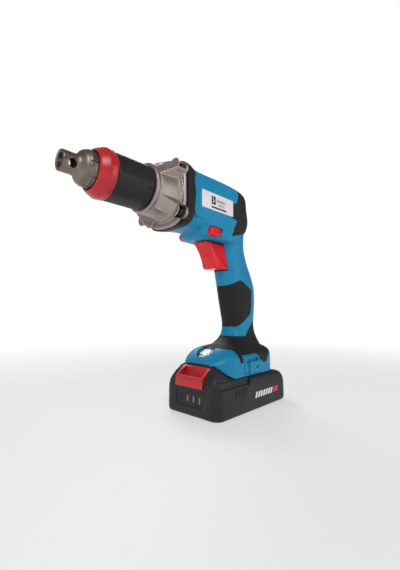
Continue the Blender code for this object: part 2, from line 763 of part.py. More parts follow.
# ---------------------------------------------------------------- housing
def housing_cavity():
    """The hollow inside the shell: motor bore, grip, neck, foot, and bulkheads left standing."""
    wall = SKIN + WALL
    front = BARREL_FRONT_X - 0.001
    hollow = rod("hollow", front, REAR_BEARING_X - 0.0010, MOTOR_BORE)
    for x_from, x_to in [(-0.0830, -0.0740), (-0.0600, -0.0350)]:
        join(hollow, loft("bay", barrel_rings(wall, x_from, x_to, HOLLOW_SIDES)))
    grip = loft("grip", grip_rings(wall, HOLLOW_SIDES))
    neck = loft("neck", neck_rings(wall, HOLLOW_SIDES))
    join(hollow, neck, grip)
    bearing_wall = box("wall", (REAR_BEARING_X - 0.0010, -0.03, AXIS_Z - 0.021),
                       (0.0250, 0.03, AXIS_Z + 0.053))
    cut(hollow, bearing_wall)
    join(hollow, rod("bearing", REAR_BEARING_X - 0.002, REAR_BEARING_X + REAR_BEARING_WIDTH + RUN,
                     REAR_BEARING_RADIUS + GAP / 2))
    join(hollow, box("foot", (-0.0300, 0.0042 - FOOT_HALF_WIDTH, PACK_HEIGHT + 0.0133),
                     (0.0370, FOOT_HALF_WIDTH - 0.0042, GRIP_LOW_Z)))
    for x, z in HOUSING_SCREWS:
        cut(hollow, prism("boss", circle((x, z), HOUSING_SCREW_BOSS, 8), "Y", -0.04, 0.04))
    return hollow


def rail_channel(name, fit):
    """The T-shaped channel under the foot (or, with no fit, the pack's rail that runs in it)."""
    rear = RAIL_HALF_LENGTH + fit
    base = FOOT_UNDER_Z - 0.002 if fit else PACK_HEIGHT - 0.001
    neck_top = PACK_HEIGHT + RAIL_NECK_HEIGHT - fit
    lip_top = PACK_HEIGHT + RAIL_NECK_HEIGHT + RAIL_LIP_HEIGHT + fit
    front = -0.070 if fit else -RAIL_HALF_LENGTH - 0.004
    neck = box(name, (front, -RAIL_NECK - fit, base), (rear, RAIL_NECK + fit, lip_top))
    wide = RAIL_NECK + RAIL_LIP + fit
    lip = box("lip", (front, -wide, neck_top), (rear, wide, lip_top))
    return join(neck, lip)


def hood_form(name, grow):
    """The pack's raised front, which fills the foot's front opening."""
    root_z = PACK_HEIGHT - 0.0112
    half = FOOT_HALF_WIDTH - GAP
    stations = [
        (PACK_FRONT_X + 0.0006 - grow, half - 0.0030, -0.0092, -0.0012),
        (PACK_FRONT_X + 0.0030, half - 0.0015, -0.0062, 0.0053),
        (-0.0565, half - 0.0006, -0.0045, 0.0112),
        (HOOD_TOP_X, half, -0.0032, HOOD_TOP_Z - PACK_HEIGHT),
        (-0.0400, half, -0.0022, 0.0078),
        (HOOD_BACK_X + grow, half, -0.0017, 0.0010),
    ]
    arc = 8
    rings = []
    for x, half, side_rise, top_rise in stations:
        half = half + grow
        side_z = PACK_HEIGHT + side_rise + grow
        top_z = PACK_HEIGHT + top_rise + grow
        ring = [(x, half, root_z), (x, half, side_z)]
        for step in range(1, arc):
            across, rise = super_point(math.pi * step / arc, 3.0)
            ring.append((x, across * half, side_z + rise * (top_z - side_z)))
        ring.append((x, -half, side_z))
        ring.append((x, -half, root_z))
        rings.append(ring)
    return loft(name, rings, "pack")


def lamp_axis():
    return Matrix.Translation((LAMP_X, 0, LAMP_Z)) @ Matrix.Rotation(math.radians(LAMP_TILT_DEG), 4, "Y")


def turned_up(name, profile, colour, sides=SIDES):
    """Spin (height, radius) points about the lamp's own axis."""
    piece = turned(name, profile, colour, sides, axis_z=0.0)
    piece.data.transform(Matrix.Rotation(math.radians(-90), 4, "Y"))
    piece.data.transform(lamp_axis())
    return piece


def trigger_slot():
    outline = [(-0.0700, TRIGGER_LOW_Z - 0.0008), (SWITCH_FRONT_X - 0.0010, TRIGGER_LOW_Z - 0.0008),
               (SWITCH_FRONT_X - 0.0010, TRIGGER_TOP_Z + RUN), (-0.0700, TRIGGER_TOP_Z + RUN)]
    return prism("slot", outline, "Y", -TRIGGER_HALF_WIDTH - RUN, TRIGGER_HALF_WIDTH + RUN)


def lever_outline(grow=0.0):
    centre = (LEVER_X, LEVER_Z)
    steps = [math.tau * (i + 0.5) / 16 for i in range(16)]
    points = [super_point(a, 2.6) for a in steps]
    return [(centre[0] + across * (LEVER_HALF_LENGTH + grow), centre[1] + rise * (LEVER_HALF_HEIGHT + grow))
            for across, rise in points]


def case_screw_places():
    return [(side * SCREW_Y, AXIS_Z + up * SCREW_Z) for side in (-1, 1) for up in (-1, 1)]


def build_housing():
    form = housing_form("form", 0.0)
    cut(form, hood_form("hood", 2 * GAP), rail_channel("rail", RAIL_FIT))
    hook_seats(form)
    core = housing_form("core", SKIN)
    core_gap = housing_form("core_gap", SKIN - GAP)

    skins = {name: overmould(name, outline, form, core_gap) for name, outline in OVERMOULDS.items()}

    shell = copy_of(form, "shell")
    for outline in OVERMOULDS.values():
        wrap = region(outline)
        boolean(wrap, core, "DIFFERENCE", keep=True)
        cut(shell, wrap)

    hollow = housing_cavity()
    cut(shell, hollow)
    cut(shell, trigger_slot())
    cut(shell, box("terminals", (RAIL_HALF_LENGTH, -TERMINAL_HALF_WIDTH - RUN, FOOT_UNDER_Z - 0.002),
                   (TERMINAL_REAR_X + RUN, TERMINAL_HALF_WIDTH + RUN, TERMINAL_TOP_Z + 0.0010)))
    cut(shell, prism("lever", lever_outline(RUN), "Y", -0.04, 0.04))
    reach = LAMP_DEPTH + GAP
    lamp_way = [(-reach, 0), (-reach, LAMP_RADIUS + GAP), (0.02, LAMP_RADIUS + GAP), (0.02, 0)]
    cut(shell, turned_up("lamp", lamp_way, "blue"))
    for y, z in case_screw_places():
        cut(shell, rod("thread", BARREL_FRONT_X - 0.001, SCREW_END_X + GAP, SCREW_RADIUS + GAP,
                       sides=8, y=y, z=z))
    for x, z in HOUSING_SCREWS:
        shank = circle((x, z), HOUSING_SCREW_SHANK + GAP, 8)
        cut(shell, prism("shank", shank, "Y", HOUSING_SCREW_END_Y - GAP, NEAR_PLANE))
        head = circle((x, z), HOUSING_SCREW_HEAD + GAP, 10)
        head = prism("head", head, "Y", HOUSING_SCREW_HEAD_Y - GAP, NEAR_PLANE)
        for skin in skins.values():
            boolean(skin, head, "DIFFERENCE", keep=True)
        cut(shell, head)

    halve(shell, "housing_left", "housing_right", "blue")
    drop(form, core, core_gap)
    build_housing_screws()


def build_housing_screws():
    for index, (x, z) in enumerate(HOUSING_SCREWS):
        head = prism("head", circle((x, z), HOUSING_SCREW_HEAD, 10), "Y", HOUSING_SCREW_HEAD_Y,
                     HOUSING_SCREW_HEAD_Y + 0.0022, "steel")
        shank = prism("shank", circle((x, z), HOUSING_SCREW_SHANK, 8), "Y", HOUSING_SCREW_END_Y,
                      HOUSING_SCREW_HEAD_Y + 0.001, "steel")
        join(head, shank)
        head.name = f"housing_screw_{index + 1}"


# ---------------------------------------------------------------- gear case and nose
def build_gear_case():
    flange_x = CASE_REAR_X - 0.0045
    case = turned("gear_case", [
        (CASE_FRONT_X, 0.0), (CASE_FRONT_X, 0.0222), (CASE_FRONT_X + 0.0010, CASE_RADIUS),
        (CASE_FRONT_X + 0.0025, CASE_RADIUS), (CASE_FRONT_X + 0.0036, 0.0220),
        (CASE_FRONT_X + 0.0050, 0.0222),
        (CASE_FRONT_X + 0.0062, CASE_RADIUS), (-0.1100, 0.0238), (flange_x, 0.0262), (CASE_REAR_X, 0.0262),
        (CASE_REAR_X, 0.0)], "cast")
    flange = [super_point(math.tau * i / SIDES, 3.4) for i in range(SIDES)]
    flange = [(a * 0.0278, AXIS_Z + b * (HALF_UP - 0.0010)) for a, b in flange]
    join(case, prism("flange", flange, "X", flange_x, CASE_REAR_X))
    for y, z in case_screw_places():
        inner = Vector((y * 0.62, (z - AXIS_Z) * 0.62 + AXIS_Z))
        outer = Vector((y, z))
        side = Vector((-(outer.y - inner.y), outer.x - inner.x)).normalized() * 0.0040
        tip = inner + (outer - inner) * 0.15
        wedge = loft("wedge", [
            [(x, *(top + side)), (x, *(top - side)), (x, *(inner - side)), (x, *(inner + side))]
            for x, top in ((-0.1215, tip), (flange_x + 0.001, outer))])
        join(case, wedge)
        join(case, rod("boss", -0.1100, CASE_REAR_X, BOSS_RADIUS, sides=SMALL_SIDES, y=y, z=z))
    for y, z in case_screw_places():
        cut(case, rod("seat", -0.1300, SCREW_HEAD_X + SCREW_HEAD_LENGTH + GAP, SCREW_HEAD_RADIUS + 0.0008,
                      sides=SMALL_SIDES, y=y, z=z))
        cut(case, rod("shank", SCREW_HEAD_X, CASE_REAR_X + 0.001, SCREW_RADIUS + GAP, sides=8, y=y, z=z))
    spigot = tube("spigot", CASE_REAR_X - 0.002, -0.0840, MOTOR_BORE - GAP, CASE_BORE)
    join(case, spigot)
    cut(case, rod("bore", WING_FRONT_X - 0.0006, -0.0800, CASE_BORE))
    cut(case, rod("bush_seat", CASE_FRONT_X - 0.001, WING_FRONT_X, ANVIL_HUB_RADIUS + 0.0030 + GAP))
    case.name = "gear_case"

    for index, (y, z) in enumerate(case_screw_places()):
        head_end = SCREW_HEAD_X + SCREW_HEAD_LENGTH
        head = rod("head", SCREW_HEAD_X, head_end, SCREW_HEAD_RADIUS, "steel", SMALL_SIDES, y, z)
        cut(head, rod("socket", SCREW_HEAD_X - 0.001, SCREW_HEAD_X + 0.0022, 0.0019, "steel", 6, y, z))
        join(head, rod("shank", head_end - 0.0005, SCREW_END_X, SCREW_RADIUS, "steel", 8, y, z))
        head.name = f"case_screw_{index + 1}"


def build_nose():
    counterbore = 0.0006
    ring_spigot = SLEEVE_BORE + 0.0007
    turned("nose_sleeve", [
        (RING_REAR_X + GAP, ring_spigot + GAP), (RING_REAR_X + GAP, SLEEVE_RADIUS - 0.0004),
        (-0.1460, SLEEVE_RADIUS), (CASE_FRONT_X - GAP - 0.0005, SLEEVE_RADIUS),
        (CASE_FRONT_X - GAP, SLEEVE_RADIUS - 0.0005),
        (CASE_FRONT_X - GAP, SLEEVE_BORE), (NOSE_BEARING_X - counterbore, SLEEVE_BORE),
        (NOSE_BEARING_X - counterbore, ring_spigot + GAP)], "black")
    inner = COLLAR_RADIUS + 0.0010
    turned("nose_ring", [
        (RING_FRONT_X, inner), (RING_FRONT_X - 0.0002, 0.0172), (RING_FRONT_X + 0.0004, 0.0182),
        (-0.1740, 0.0195), (-0.1712, 0.0206), (-0.1685, 0.0211), (RING_REAR_X - 0.0005, RING_RADIUS),
        (RING_REAR_X, RING_RADIUS - 0.0005), (RING_REAR_X, ring_spigot),
        (NOSE_BEARING_X - counterbore - GAP, ring_spigot), (NOSE_BEARING_X - counterbore - GAP, inner)],
        "red")
    tube("nose_bearing", NOSE_BEARING_X, NOSE_BEARING_X + NOSE_BEARING_WIDTH, SLEEVE_BORE - GAP / 2,
         SHAFT_RADIUS + GAP / 2, "bright_steel")
    build_output_shaft()


def turn_shaft(piece):
    """Turn a piece about the barrel's axis by the angle at which the shaft stands."""
    to_axis = Matrix.Translation((0, 0, AXIS_Z))
    piece.data.transform(to_axis @ Matrix.Rotation(math.radians(SHAFT_TURN_DEG), 4, "X") @ to_axis.inverted())


def build_output_shaft():
    """The nose shaft: open cross-drilled tube, keyed collar, and a square socket for the anvil."""
    shoulder = [(-0.1905, 0.0080), (-0.1884, 0.0091), (-0.1868, 0.0122), (-0.1850, 0.0138)]
    shaft = turned("output_shaft", [
        (NOSE_TIP_X, TUBE_BORE + 0.0008), (NOSE_TIP_X, TUBE_RADIUS - 0.0007),
        (NOSE_TIP_X + 0.0008, TUBE_RADIUS)]
        + shoulder + [
        (COLLAR_FRONT_X, COLLAR_RADIUS - 0.0004), (COLLAR_REAR_X, COLLAR_RADIUS - 0.0004),
        (COLLAR_REAR_X, SHAFT_RADIUS), (SHAFT_REAR_X, SHAFT_RADIUS), (SHAFT_REAR_X, 0.0),
        (TUBE_BORE_END_X, 0.0), (TUBE_BORE_END_X, TUBE_BORE), (NOSE_TIP_X + 0.0008, TUBE_BORE)], "steel")
    cut(shaft, prism("cross", circle((CROSS_HOLE_X, AXIS_Z), CROSS_HOLE_RADIUS, 16), "Y", -0.02, 0.02))
    key_count = 8
    for index in range(key_count):
        pad = box("pad", (COLLAR_FRONT_X + 0.0005, -0.0040, COLLAR_RADIUS - 0.0010),
                  (RING_FRONT_X + 0.0006, 0.0040, COLLAR_RADIUS))
        pad.data.transform(Matrix.Rotation(math.tau * index / key_count, 4, "X"))
        pad.data.transform(Matrix.Translation((0, 0, AXIS_Z)))
        join(shaft, pad)
    square = DRIVE_HALF + GAP
    cut(shaft, box("socket", (ANVIL_SQUARE_FRONT_X - GAP, -square, AXIS_Z - square),
                   (SHAFT_REAR_X + 0.001, square, AXIS_Z + square)))
    turn_shaft(shaft)


# ---------------------------------------------------------------- impact mechanism
def sector(radius_in, radius_out, middle_deg, half_deg, x_from, x_to, colour):
    """A block between two radii and two angles, in (y, z) about the barrel's axis."""
    steps = 5
    angles = [math.radians(middle_deg + half_deg * (2 * i / steps - 1)) for i in range(steps + 1)]
    outline = [(radius_out * math.cos(a), AXIS_Z + radius_out * math.sin(a)) for a in angles]
    outline += [(radius_in * math.cos(a), AXIS_Z + radius_in * math.sin(a)) for a in reversed(angles)]
    return prism("sector", outline, "X", x_from, x_to, colour)


def build_impact():
    bush_outer = ANVIL_HUB_RADIUS + 0.0030
    tube("anvil_bush", CASE_FRONT_X + 0.0006, WING_FRONT_X - 0.0004, bush_outer, ANVIL_HUB_RADIUS + GAP / 2,
         "bronze")

    anvil = rod("anvil", SHAFT_REAR_X + GAP, WING_REAR_X, ANVIL_HUB_RADIUS, "steel")
    for middle in (90, 270):
        join(anvil, sector(0.0070, WING_RADIUS, middle, WING_HALF_DEG, WING_FRONT_X, WING_REAR_X, "steel"))
    join(anvil, box("square", (ANVIL_SQUARE_FRONT_X, -DRIVE_HALF, AXIS_Z - DRIVE_HALF),
                    (SHAFT_REAR_X + 0.002, DRIVE_HALF, AXIS_Z + DRIVE_HALF)))
    cut(anvil, rod("pilot", -0.1240, WING_REAR_X + 0.001, SPINDLE_PILOT + RUN))
    turn_shaft(anvil)

    hammer = turned("hammer", [
        (HAMMER_FRONT_X, SPINDLE_RADIUS + RUN), (HAMMER_FRONT_X, HAMMER_RADIUS),
        (HAMMER_REAR_X, HAMMER_RADIUS),
        (HAMMER_REAR_X, HAMMER_POCKET), (HAMMER_FLOOR_X, HAMMER_POCKET),
        (HAMMER_FLOOR_X, SPINDLE_RADIUS + RUN)],
        "steel")
    for middle in (0, 180):
        join(hammer, sector(ANVIL_HUB_RADIUS + 0.0008, HAMMER_RADIUS, middle, LUG_HALF_DEG,
                            WING_FRONT_X, HAMMER_FRONT_X + 0.001, "steel"))
    for side in (-1, 1):
        cut(hammer, rod("groove", HAMMER_FRONT_X - 0.001, HAMMER_FLOOR_X + 0.001, BALL_RADIUS + 0.0004,
                        "steel", SMALL_SIDES, y=side * (SPINDLE_RADIUS + GAP)))

    spindle = turned("spindle", [
        (-0.1232, 0.0), (-0.1232, SPINDLE_PILOT), (WING_REAR_X + 0.0008, SPINDLE_PILOT),
        (WING_REAR_X + 0.0008, SPINDLE_RADIUS), (CARRIER_FRONT_X, SPINDLE_RADIUS),
        (CARRIER_FRONT_X, CARRIER_RADIUS),
        (CARRIER_FRONT_X + CARRIER_THICKNESS, CARRIER_RADIUS), (CARRIER_FRONT_X + CARRIER_THICKNESS, 0.0)],
        "steel")
    for index, side in enumerate((-1, 1)):
        cut(spindle, ball_at("seat", side, BALL_RADIUS + GAP / 2))
        ball_at(f"cam_ball_{index + 1}", side, BALL_RADIUS)

    orbit = MODULE * (SUN_TEETH + PLANET_TEETH) / 2
    for index in range(PLANET_COUNT):
        angle = math.tau * index / PLANET_COUNT
        y, z = orbit * math.cos(angle), AXIS_Z + orbit * math.sin(angle)
        join(spindle, rod("pin", CARRIER_FRONT_X + 0.001, GEAR_FRONT_X + GEAR_WIDTH + 0.0004,
                          PLANET_PIN_RADIUS,
                          "steel", SMALL_SIDES, y, z))
        build_planet(index, y, z, angle)
    spindle.name = "spindle"

    length = CARRIER_FRONT_X - HAMMER_FLOOR_X - 2 * GAP
    coil("hammer_spring", (HAMMER_FLOOR_X + GAP, 0, AXIS_Z), (1, 0, 0), length, MAIN_COIL, MAIN_WIRE,
         MAIN_TURNS)


def ball_at(name, side, radius):
    bm = bmesh.new()
    bmesh.ops.create_uvsphere(bm, u_segments=10, v_segments=6, radius=radius)
    bmesh.ops.translate(bm, verts=bm.verts, vec=(BALL_X, side * (SPINDLE_RADIUS + GAP), AXIS_Z))
    return from_bmesh(name, bm, "bright_steel")


def build_planet(index, y, z, angle):
    half_tooth = math.pi / PLANET_TEETH
    shape = gear_outline(PLANET_TEETH, angle + half_tooth)
    hole = circle((0, 0), PLANET_PIN_RADIUS + GAP / 2)
    planet = prism("planet", shape, "X", GEAR_FRONT_X, GEAR_FRONT_X + GEAR_WIDTH, "bright_steel", [hole])
    planet.location = (0, y, z)
    planet.name = f"planet_{index + 1}"


def build_gears():
    rim = circle((0, 0), RING_GEAR_RADIUS, 24)
    space = gear_outline(RING_TEETH, math.pi / RING_TEETH, outward=False)
    ring_prism("ring_gear", rim, space, GEAR_FRONT_X - 0.0004, GEAR_FRONT_X + GEAR_WIDTH + 0.0004,
               "bright_steel")
    shape = gear_outline(SUN_TEETH, 0.0, steps=3)
    ring_prism("motor_pinion", shape, circle((0, 0), MOTOR_SHAFT_RADIUS + GAP / 2), GEAR_FRONT_X + 0.0002,
               GEAR_FRONT_X + GEAR_WIDTH + 0.0012, "steel")


# ---------------------------------------------------------------- motor
def build_motor():
    plate_rear = PLATE_FRONT_X + PLATE_THICKNESS
    tube("motor_plate", PLATE_FRONT_X, plate_rear, STATOR_RADIUS, FRONT_BEARING_RADIUS + GAP / 2, "cast")
    tube("front_bearing", PLATE_FRONT_X, plate_rear, FRONT_BEARING_RADIUS, MOTOR_SHAFT_RADIUS + GAP / 2,
         "bright_steel")
    tube("rear_bearing", REAR_BEARING_X, REAR_BEARING_X + REAR_BEARING_WIDTH, REAR_BEARING_RADIUS,
         MOTOR_SHAFT_RADIUS + GAP / 2, "bright_steel")

    stator_rear = STATOR_FRONT_X + STATOR_LENGTH
    stator = tube("stator", STATOR_FRONT_X, stator_rear, STATOR_RADIUS, STATOR_BORE, "copper")
    slots = 6
    for index in range(slots):
        middle = 360 * (index + 0.5) / slots
        cut(stator, sector(STATOR_BORE - 0.002, STATOR_RADIUS - 0.0035, middle, 9,
                           STATOR_FRONT_X - 0.001, stator_rear + 0.001, "copper"))
    stator.name = "stator"

    core_front = STATOR_FRONT_X + 0.0010
    turned("rotor", [
        (GEAR_FRONT_X + 0.0004, 0.0), (GEAR_FRONT_X + 0.0004, MOTOR_SHAFT_RADIUS),
        (core_front, MOTOR_SHAFT_RADIUS),
        (core_front, ROTOR_RADIUS), (stator_rear - 0.0010, ROTOR_RADIUS),
        (stator_rear - 0.0010, MOTOR_SHAFT_RADIUS),
        (REAR_BEARING_X + REAR_BEARING_WIDTH, MOTOR_SHAFT_RADIUS),
        (REAR_BEARING_X + REAR_BEARING_WIDTH, 0.0)], "steel")

    fan = turned("fan", [
        (FAN_FRONT_X, MOTOR_SHAFT_RADIUS + GAP / 2), (FAN_FRONT_X, FAN_RADIUS),
        (FAN_FRONT_X + 0.0012, FAN_RADIUS),
        (FAN_FRONT_X + 0.0012, 0.0050), (FAN_FRONT_X + 0.0060, 0.0050),
        (FAN_FRONT_X + 0.0060, MOTOR_SHAFT_RADIUS + GAP / 2)], "black")
    blade_count = 6
    for index in range(blade_count):
        blade = box("blade", (FAN_FRONT_X + 0.0008, -0.0005, 0.0080),
                    (FAN_FRONT_X + 0.0056, 0.0005, FAN_RADIUS - 0.001))
        blade.data.transform(Matrix.Rotation(math.tau * index / blade_count, 4, "X"))
        blade.data.transform(Matrix.Translation((0, 0, AXIS_Z)))
        join(fan, blade)
    fan.name = "fan"

    tube("motor_board", BOARD_X, BOARD_X + BOARD_THICKNESS, BOARD_RADIUS, 0.0060, "board")


# ---------------------------------------------------------------- trigger, switch, lever, lamp, label
def build_controls():
    outline = [
        (-0.0125, TRIGGER_TOP_Z), (-0.0480, TRIGGER_TOP_Z), (-0.0450, TRIGGER_TOP_Z - 0.0058),
        (-0.0395, TRIGGER_LOW_Z + 0.0135), (-0.0355, TRIGGER_LOW_Z + 0.0065), (-0.0340, TRIGGER_LOW_Z),
        (TRIGGER_REAR_X, TRIGGER_LOW_Z), (TRIGGER_REAR_X, TRIGGER_TOP_Z - 0.0005)]
    trigger = prism("trigger", outline, "Y", -TRIGGER_HALF_WIDTH, TRIGGER_HALF_WIDTH, "bright_red")
    join(trigger, rod("plunger", TRIGGER_REAR_X - 0.002, SWITCH_FRONT_X + 0.0012, PLUNGER_RADIUS,
                      "bright_red",
                      SMALL_SIDES, z=PLUNGER_Z))
    trigger.name = "trigger"
    switch = box("switch_body", (SWITCH_FRONT_X, -SWITCH_HALF_WIDTH, TRIGGER_LOW_Z + 0.0008),
                 (SWITCH_REAR_X, SWITCH_HALF_WIDTH, TRIGGER_TOP_Z), "black")
    cut(switch, rod("hole", SWITCH_FRONT_X - 0.001, SWITCH_FRONT_X + TRIGGER_TRAVEL + 0.0024,
                    PLUNGER_RADIUS + RUN, sides=SMALL_SIDES, z=PLUNGER_Z))
    coil("trigger_spring", (TRIGGER_REAR_X + GAP, 0, PLUNGER_Z), (1, 0, 0),
         SWITCH_FRONT_X - TRIGGER_REAR_X - 2 * GAP, 0.0038, 0.0004, 3)

    prism("direction_lever", lever_outline(), "Y", -LEVER_HALF_REACH, LEVER_HALF_REACH, "bright_red")

    depth, radius = LAMP_DEPTH, LAMP_RADIUS
    turned_up("lamp_reflector", [
        (-depth, 0.0014), (-depth, radius - 0.003), (-depth + 0.0015, radius), (-0.0002, radius),
        (0.0, radius - 0.0006),
        (-depth + 0.0020, 0.0034), (-depth + 0.0010, 0.0014)], "bright_steel")
    turned_up("lamp_led", [(-depth + 0.0012, 0.0), (-depth + 0.0012, 0.0013), (-depth + 0.0028, 0.0013),
                           (-depth + 0.0028, 0.0)], "white", SMALL_SIDES)
    lens = radius - 0.0012
    turned_up("lamp_lens", [(-0.0004, 0.0), (-0.0004, lens - 0.0004), (0.0004, lens), (0.0010, lens - 0.0010),
                            (0.0013, 0.0)], "clear")

    face = HALF_WIDTH + GAP / 2
    flat = rounded_rectangle(LABEL_HALF_LENGTH, LABEL_HALF_HEIGHT, 0.0010, 2)
    prism("label_plate", [(x + LABEL_X, z + AXIS_Z) for x, z in flat], "Y", -face - LABEL_THICKNESS, -face,
          "white")


def blade_places():
    return [BLADE_PITCH * (index - (BLADE_COUNT - 1) / 2) for index in range(BLADE_COUNT)]


def build_terminals():
    block = box("terminal_block", (TERMINAL_FRONT_X, -TERMINAL_HALF_WIDTH, FOOT_UNDER_Z + 0.0004),
                (TERMINAL_REAR_X, TERMINAL_HALF_WIDTH, TERMINAL_TOP_Z), "black")
    for y in blade_places():
        join(block, box("blade", (TERMINAL_FRONT_X - BLADE_LENGTH, y - BLADE_HALF, BLADE_LOW_Z),
                        (TERMINAL_FRONT_X + 0.001, y + BLADE_HALF, BLADE_TOP_Z)))
    block.name = "terminal_block"


# ---------------------------------------------------------------- battery pack
def pack_outline(inset=0.0):
    return rounded_rectangle(PACK_LENGTH / 2 - inset, PACK_WIDTH / 2 - inset, PACK_CORNER - inset, 4)


def apron_box(name, grow=0.0):
    """The panel of the cover that hangs down the pack's front; grown, it is the notch in the base."""
    outside = 0.002 if grow else 0.0
    return box(name, (PACK_FRONT_X - outside, -APRON_HALF_WIDTH - grow, APRON_LOW_Z - grow),
               (PACK_FRONT_X + APRON_DEPTH + grow, APRON_HALF_WIDTH + grow, PACK_SPLIT_Z + 0.001), "pack")


def button_outline():
    """Side view (x, z) of the release button: a thin skirt in front of a block with a sloping top."""
    front = PACK_FRONT_X - BUTTON_LIP
    skirt_rear = front + BUTTON_SKIRT
    return [
        (front, BUTTON_SKIRT_Z), (skirt_rear, BUTTON_SKIRT_Z), (skirt_rear, BUTTON_LOW_Z),
        (BUTTON_REAR_X, BUTTON_LOW_Z), (BUTTON_REAR_X, BUTTON_TOP_Z), (-0.0570, BUTTON_TOP_Z - 0.0026),
        (front, BUTTON_LIP_Z)]


def pocket_outline():
    """Side view (x, z) of the hollow in the cover that the button sinks into."""
    front = PACK_FRONT_X - BUTTON_LIP - GAP
    skirt_rear = PACK_FRONT_X - BUTTON_LIP + BUTTON_SKIRT + GAP
    fall = BUTTON_TRAVEL + GAP
    roof_z = HOOD_TOP_Z + 0.010
    return [
        (front, BUTTON_SKIRT_Z - fall), (skirt_rear, BUTTON_SKIRT_Z - fall),
        (skirt_rear, BUTTON_LOW_Z - fall),
        (BUTTON_REAR_X + GAP, BUTTON_LOW_Z - fall), (BUTTON_REAR_X + GAP, roof_z), (front, roof_z)]


def build_pack():
    base = prism("battery_base", pack_outline(), "Z", 0.0, PACK_SPLIT_Z - GAP / 2, "pack")
    cut(base, prism("room", pack_outline(PACK_WALL), "Z", PACK_WALL, PACK_SPLIT_Z + 0.01))
    cut(base, apron_box("apron", GAP))

    cover = prism("battery_cover", pack_outline(), "Z", PACK_SPLIT_Z + GAP / 2, PACK_HEIGHT, "pack")
    join(cover, hood_form("hood", 0.0), rail_channel("rail", 0.0), apron_box("apron"))
    room_front = BUTTON_REAR_X + 0.0030
    room = prism("room", pack_outline(PACK_WALL + PACK_RIB), "Z", PACK_SPLIT_Z - 0.01, PACK_HEIGHT - 0.0090)
    cut(room, box("nose", (PACK_FRONT_X - 0.01, -PACK_WIDTH, 0), (room_front, PACK_WIDTH, PACK_HEIGHT)))
    cut(cover, room)
    cut(cover, prism("pocket", pocket_outline(), "Y", -BUTTON_HALF_WIDTH - GAP, BUTTON_HALF_WIDTH + GAP))
    well = circle((BUTTON_SPRING_X, 0), BUTTON_SPRING_RADIUS + 2 * BUTTON_SPRING_WIRE + GAP)
    cut(cover, prism("well", well, "Z", BUTTON_LOW_Z - BUTTON_SPRING_LENGTH - GAP, BUTTON_LOW_Z))
    for y in blade_places():
        cut(cover, box("slot", (CLIP_X, y - BLADE_HALF - 0.0005, BLADE_LOW_Z - 0.0006),
                       (RAIL_HALF_LENGTH + 0.001, y + BLADE_HALF + 0.0005, BLADE_TOP_Z + 0.0006)))
    build_gauge(cover)
    build_cells((room_front + PACK_LENGTH / 2 - PACK_WALL - PACK_RIB) / 2)
    build_clips(cover)
    build_release()


def build_gauge(cover):
    """The charge gauge on the pack's front: a light bar behind slots, and a round push button."""
    front = PACK_FRONT_X
    last_y = GAUGE_FIRST_Y - GAUGE_BAR_PITCH * (GAUGE_BAR_COUNT - 1)
    lights = box("gauge_lights", (front + 0.0040, last_y - 0.0030, GAUGE_BAR_LOW_Z),
                 (front + 0.0052, GAUGE_FIRST_Y + 0.0030, GAUGE_BAR_TOP_Z - 0.0020), "clear")
    for index in range(GAUGE_BAR_COUNT):
        low_y = GAUGE_FIRST_Y - GAUGE_BAR_PITCH * index - GAUGE_BAR_HALF
        high_y = low_y + 2 * GAUGE_BAR_HALF
        join(lights, box("bar", (front + 0.0003, low_y, GAUGE_BAR_LOW_Z),
                         (front + 0.0045, high_y, GAUGE_BAR_TOP_Z)))
        cut(cover, box("window", (front - 0.001, low_y - GAP, GAUGE_BAR_LOW_Z - GAP),
                       (front + 0.010, high_y + GAP, GAUGE_BAR_TOP_Z + GAP)))
    lights.name = "gauge_lights"
    cut(cover, rod("well", front - 0.001, front + 0.010, GAUGE_BUTTON_RADIUS + RUN, sides=SMALL_SIDES,
                   y=GAUGE_BUTTON_Y, z=GAUGE_BUTTON_Z))
    rod("gauge_button", front - 0.0002, front + 0.0050, GAUGE_BUTTON_RADIUS, "pack", SMALL_SIDES,
        GAUGE_BUTTON_Y, GAUGE_BUTTON_Z)


def build_cells(middle_x):
    """One row of round cells across the pack, with the circuit board lying over them."""
    first_x = middle_x - CELL_PITCH * (CELL_COUNT - 1) / 2
    cell_z = PACK_WALL + CELL_RADIUS + GAP
    for index in range(CELL_COUNT):
        x = first_x + CELL_PITCH * index
        prism(f"cell_{index + 1}", circle((x, cell_z), CELL_RADIUS, 16), "Y", -CELL_LENGTH / 2,
              CELL_LENGTH / 2, "cell")
    reach = CELL_PITCH * CELL_COUNT / 2 - 0.0010
    half = CELL_LENGTH / 2 - 0.0045
    box("battery_board", (middle_x - reach, -half, BOARD_LOW_Z),
        (middle_x + reach, half, BOARD_LOW_Z + 0.0014), "board")


def build_clips(cover):
    """Four spring clips on one bar, in a cross channel at the inner end of the rail's slots."""

    half = blade_places()[-1] + 0.0012
    cut(cover, box("channel", (CLIP_X - 0.0026, -half - GAP, BLADE_LOW_Z - GAP),
                   (CLIP_X + 0.0002, half + GAP, BLADE_TOP_Z + GAP)))
    clips = box("battery_clips", (CLIP_X - 0.0022, -half, BLADE_LOW_Z),
                (CLIP_X - 0.0002, half, BLADE_TOP_Z),
                "bright_steel")
    for y in blade_places():
        join(clips, box("clip", (CLIP_X - 0.0010, y - 0.0006, BLADE_LOW_Z),
                        (CLIP_X + 0.0034, y + 0.0006, BLADE_TOP_Z)))
    clips.name = "battery_clips"


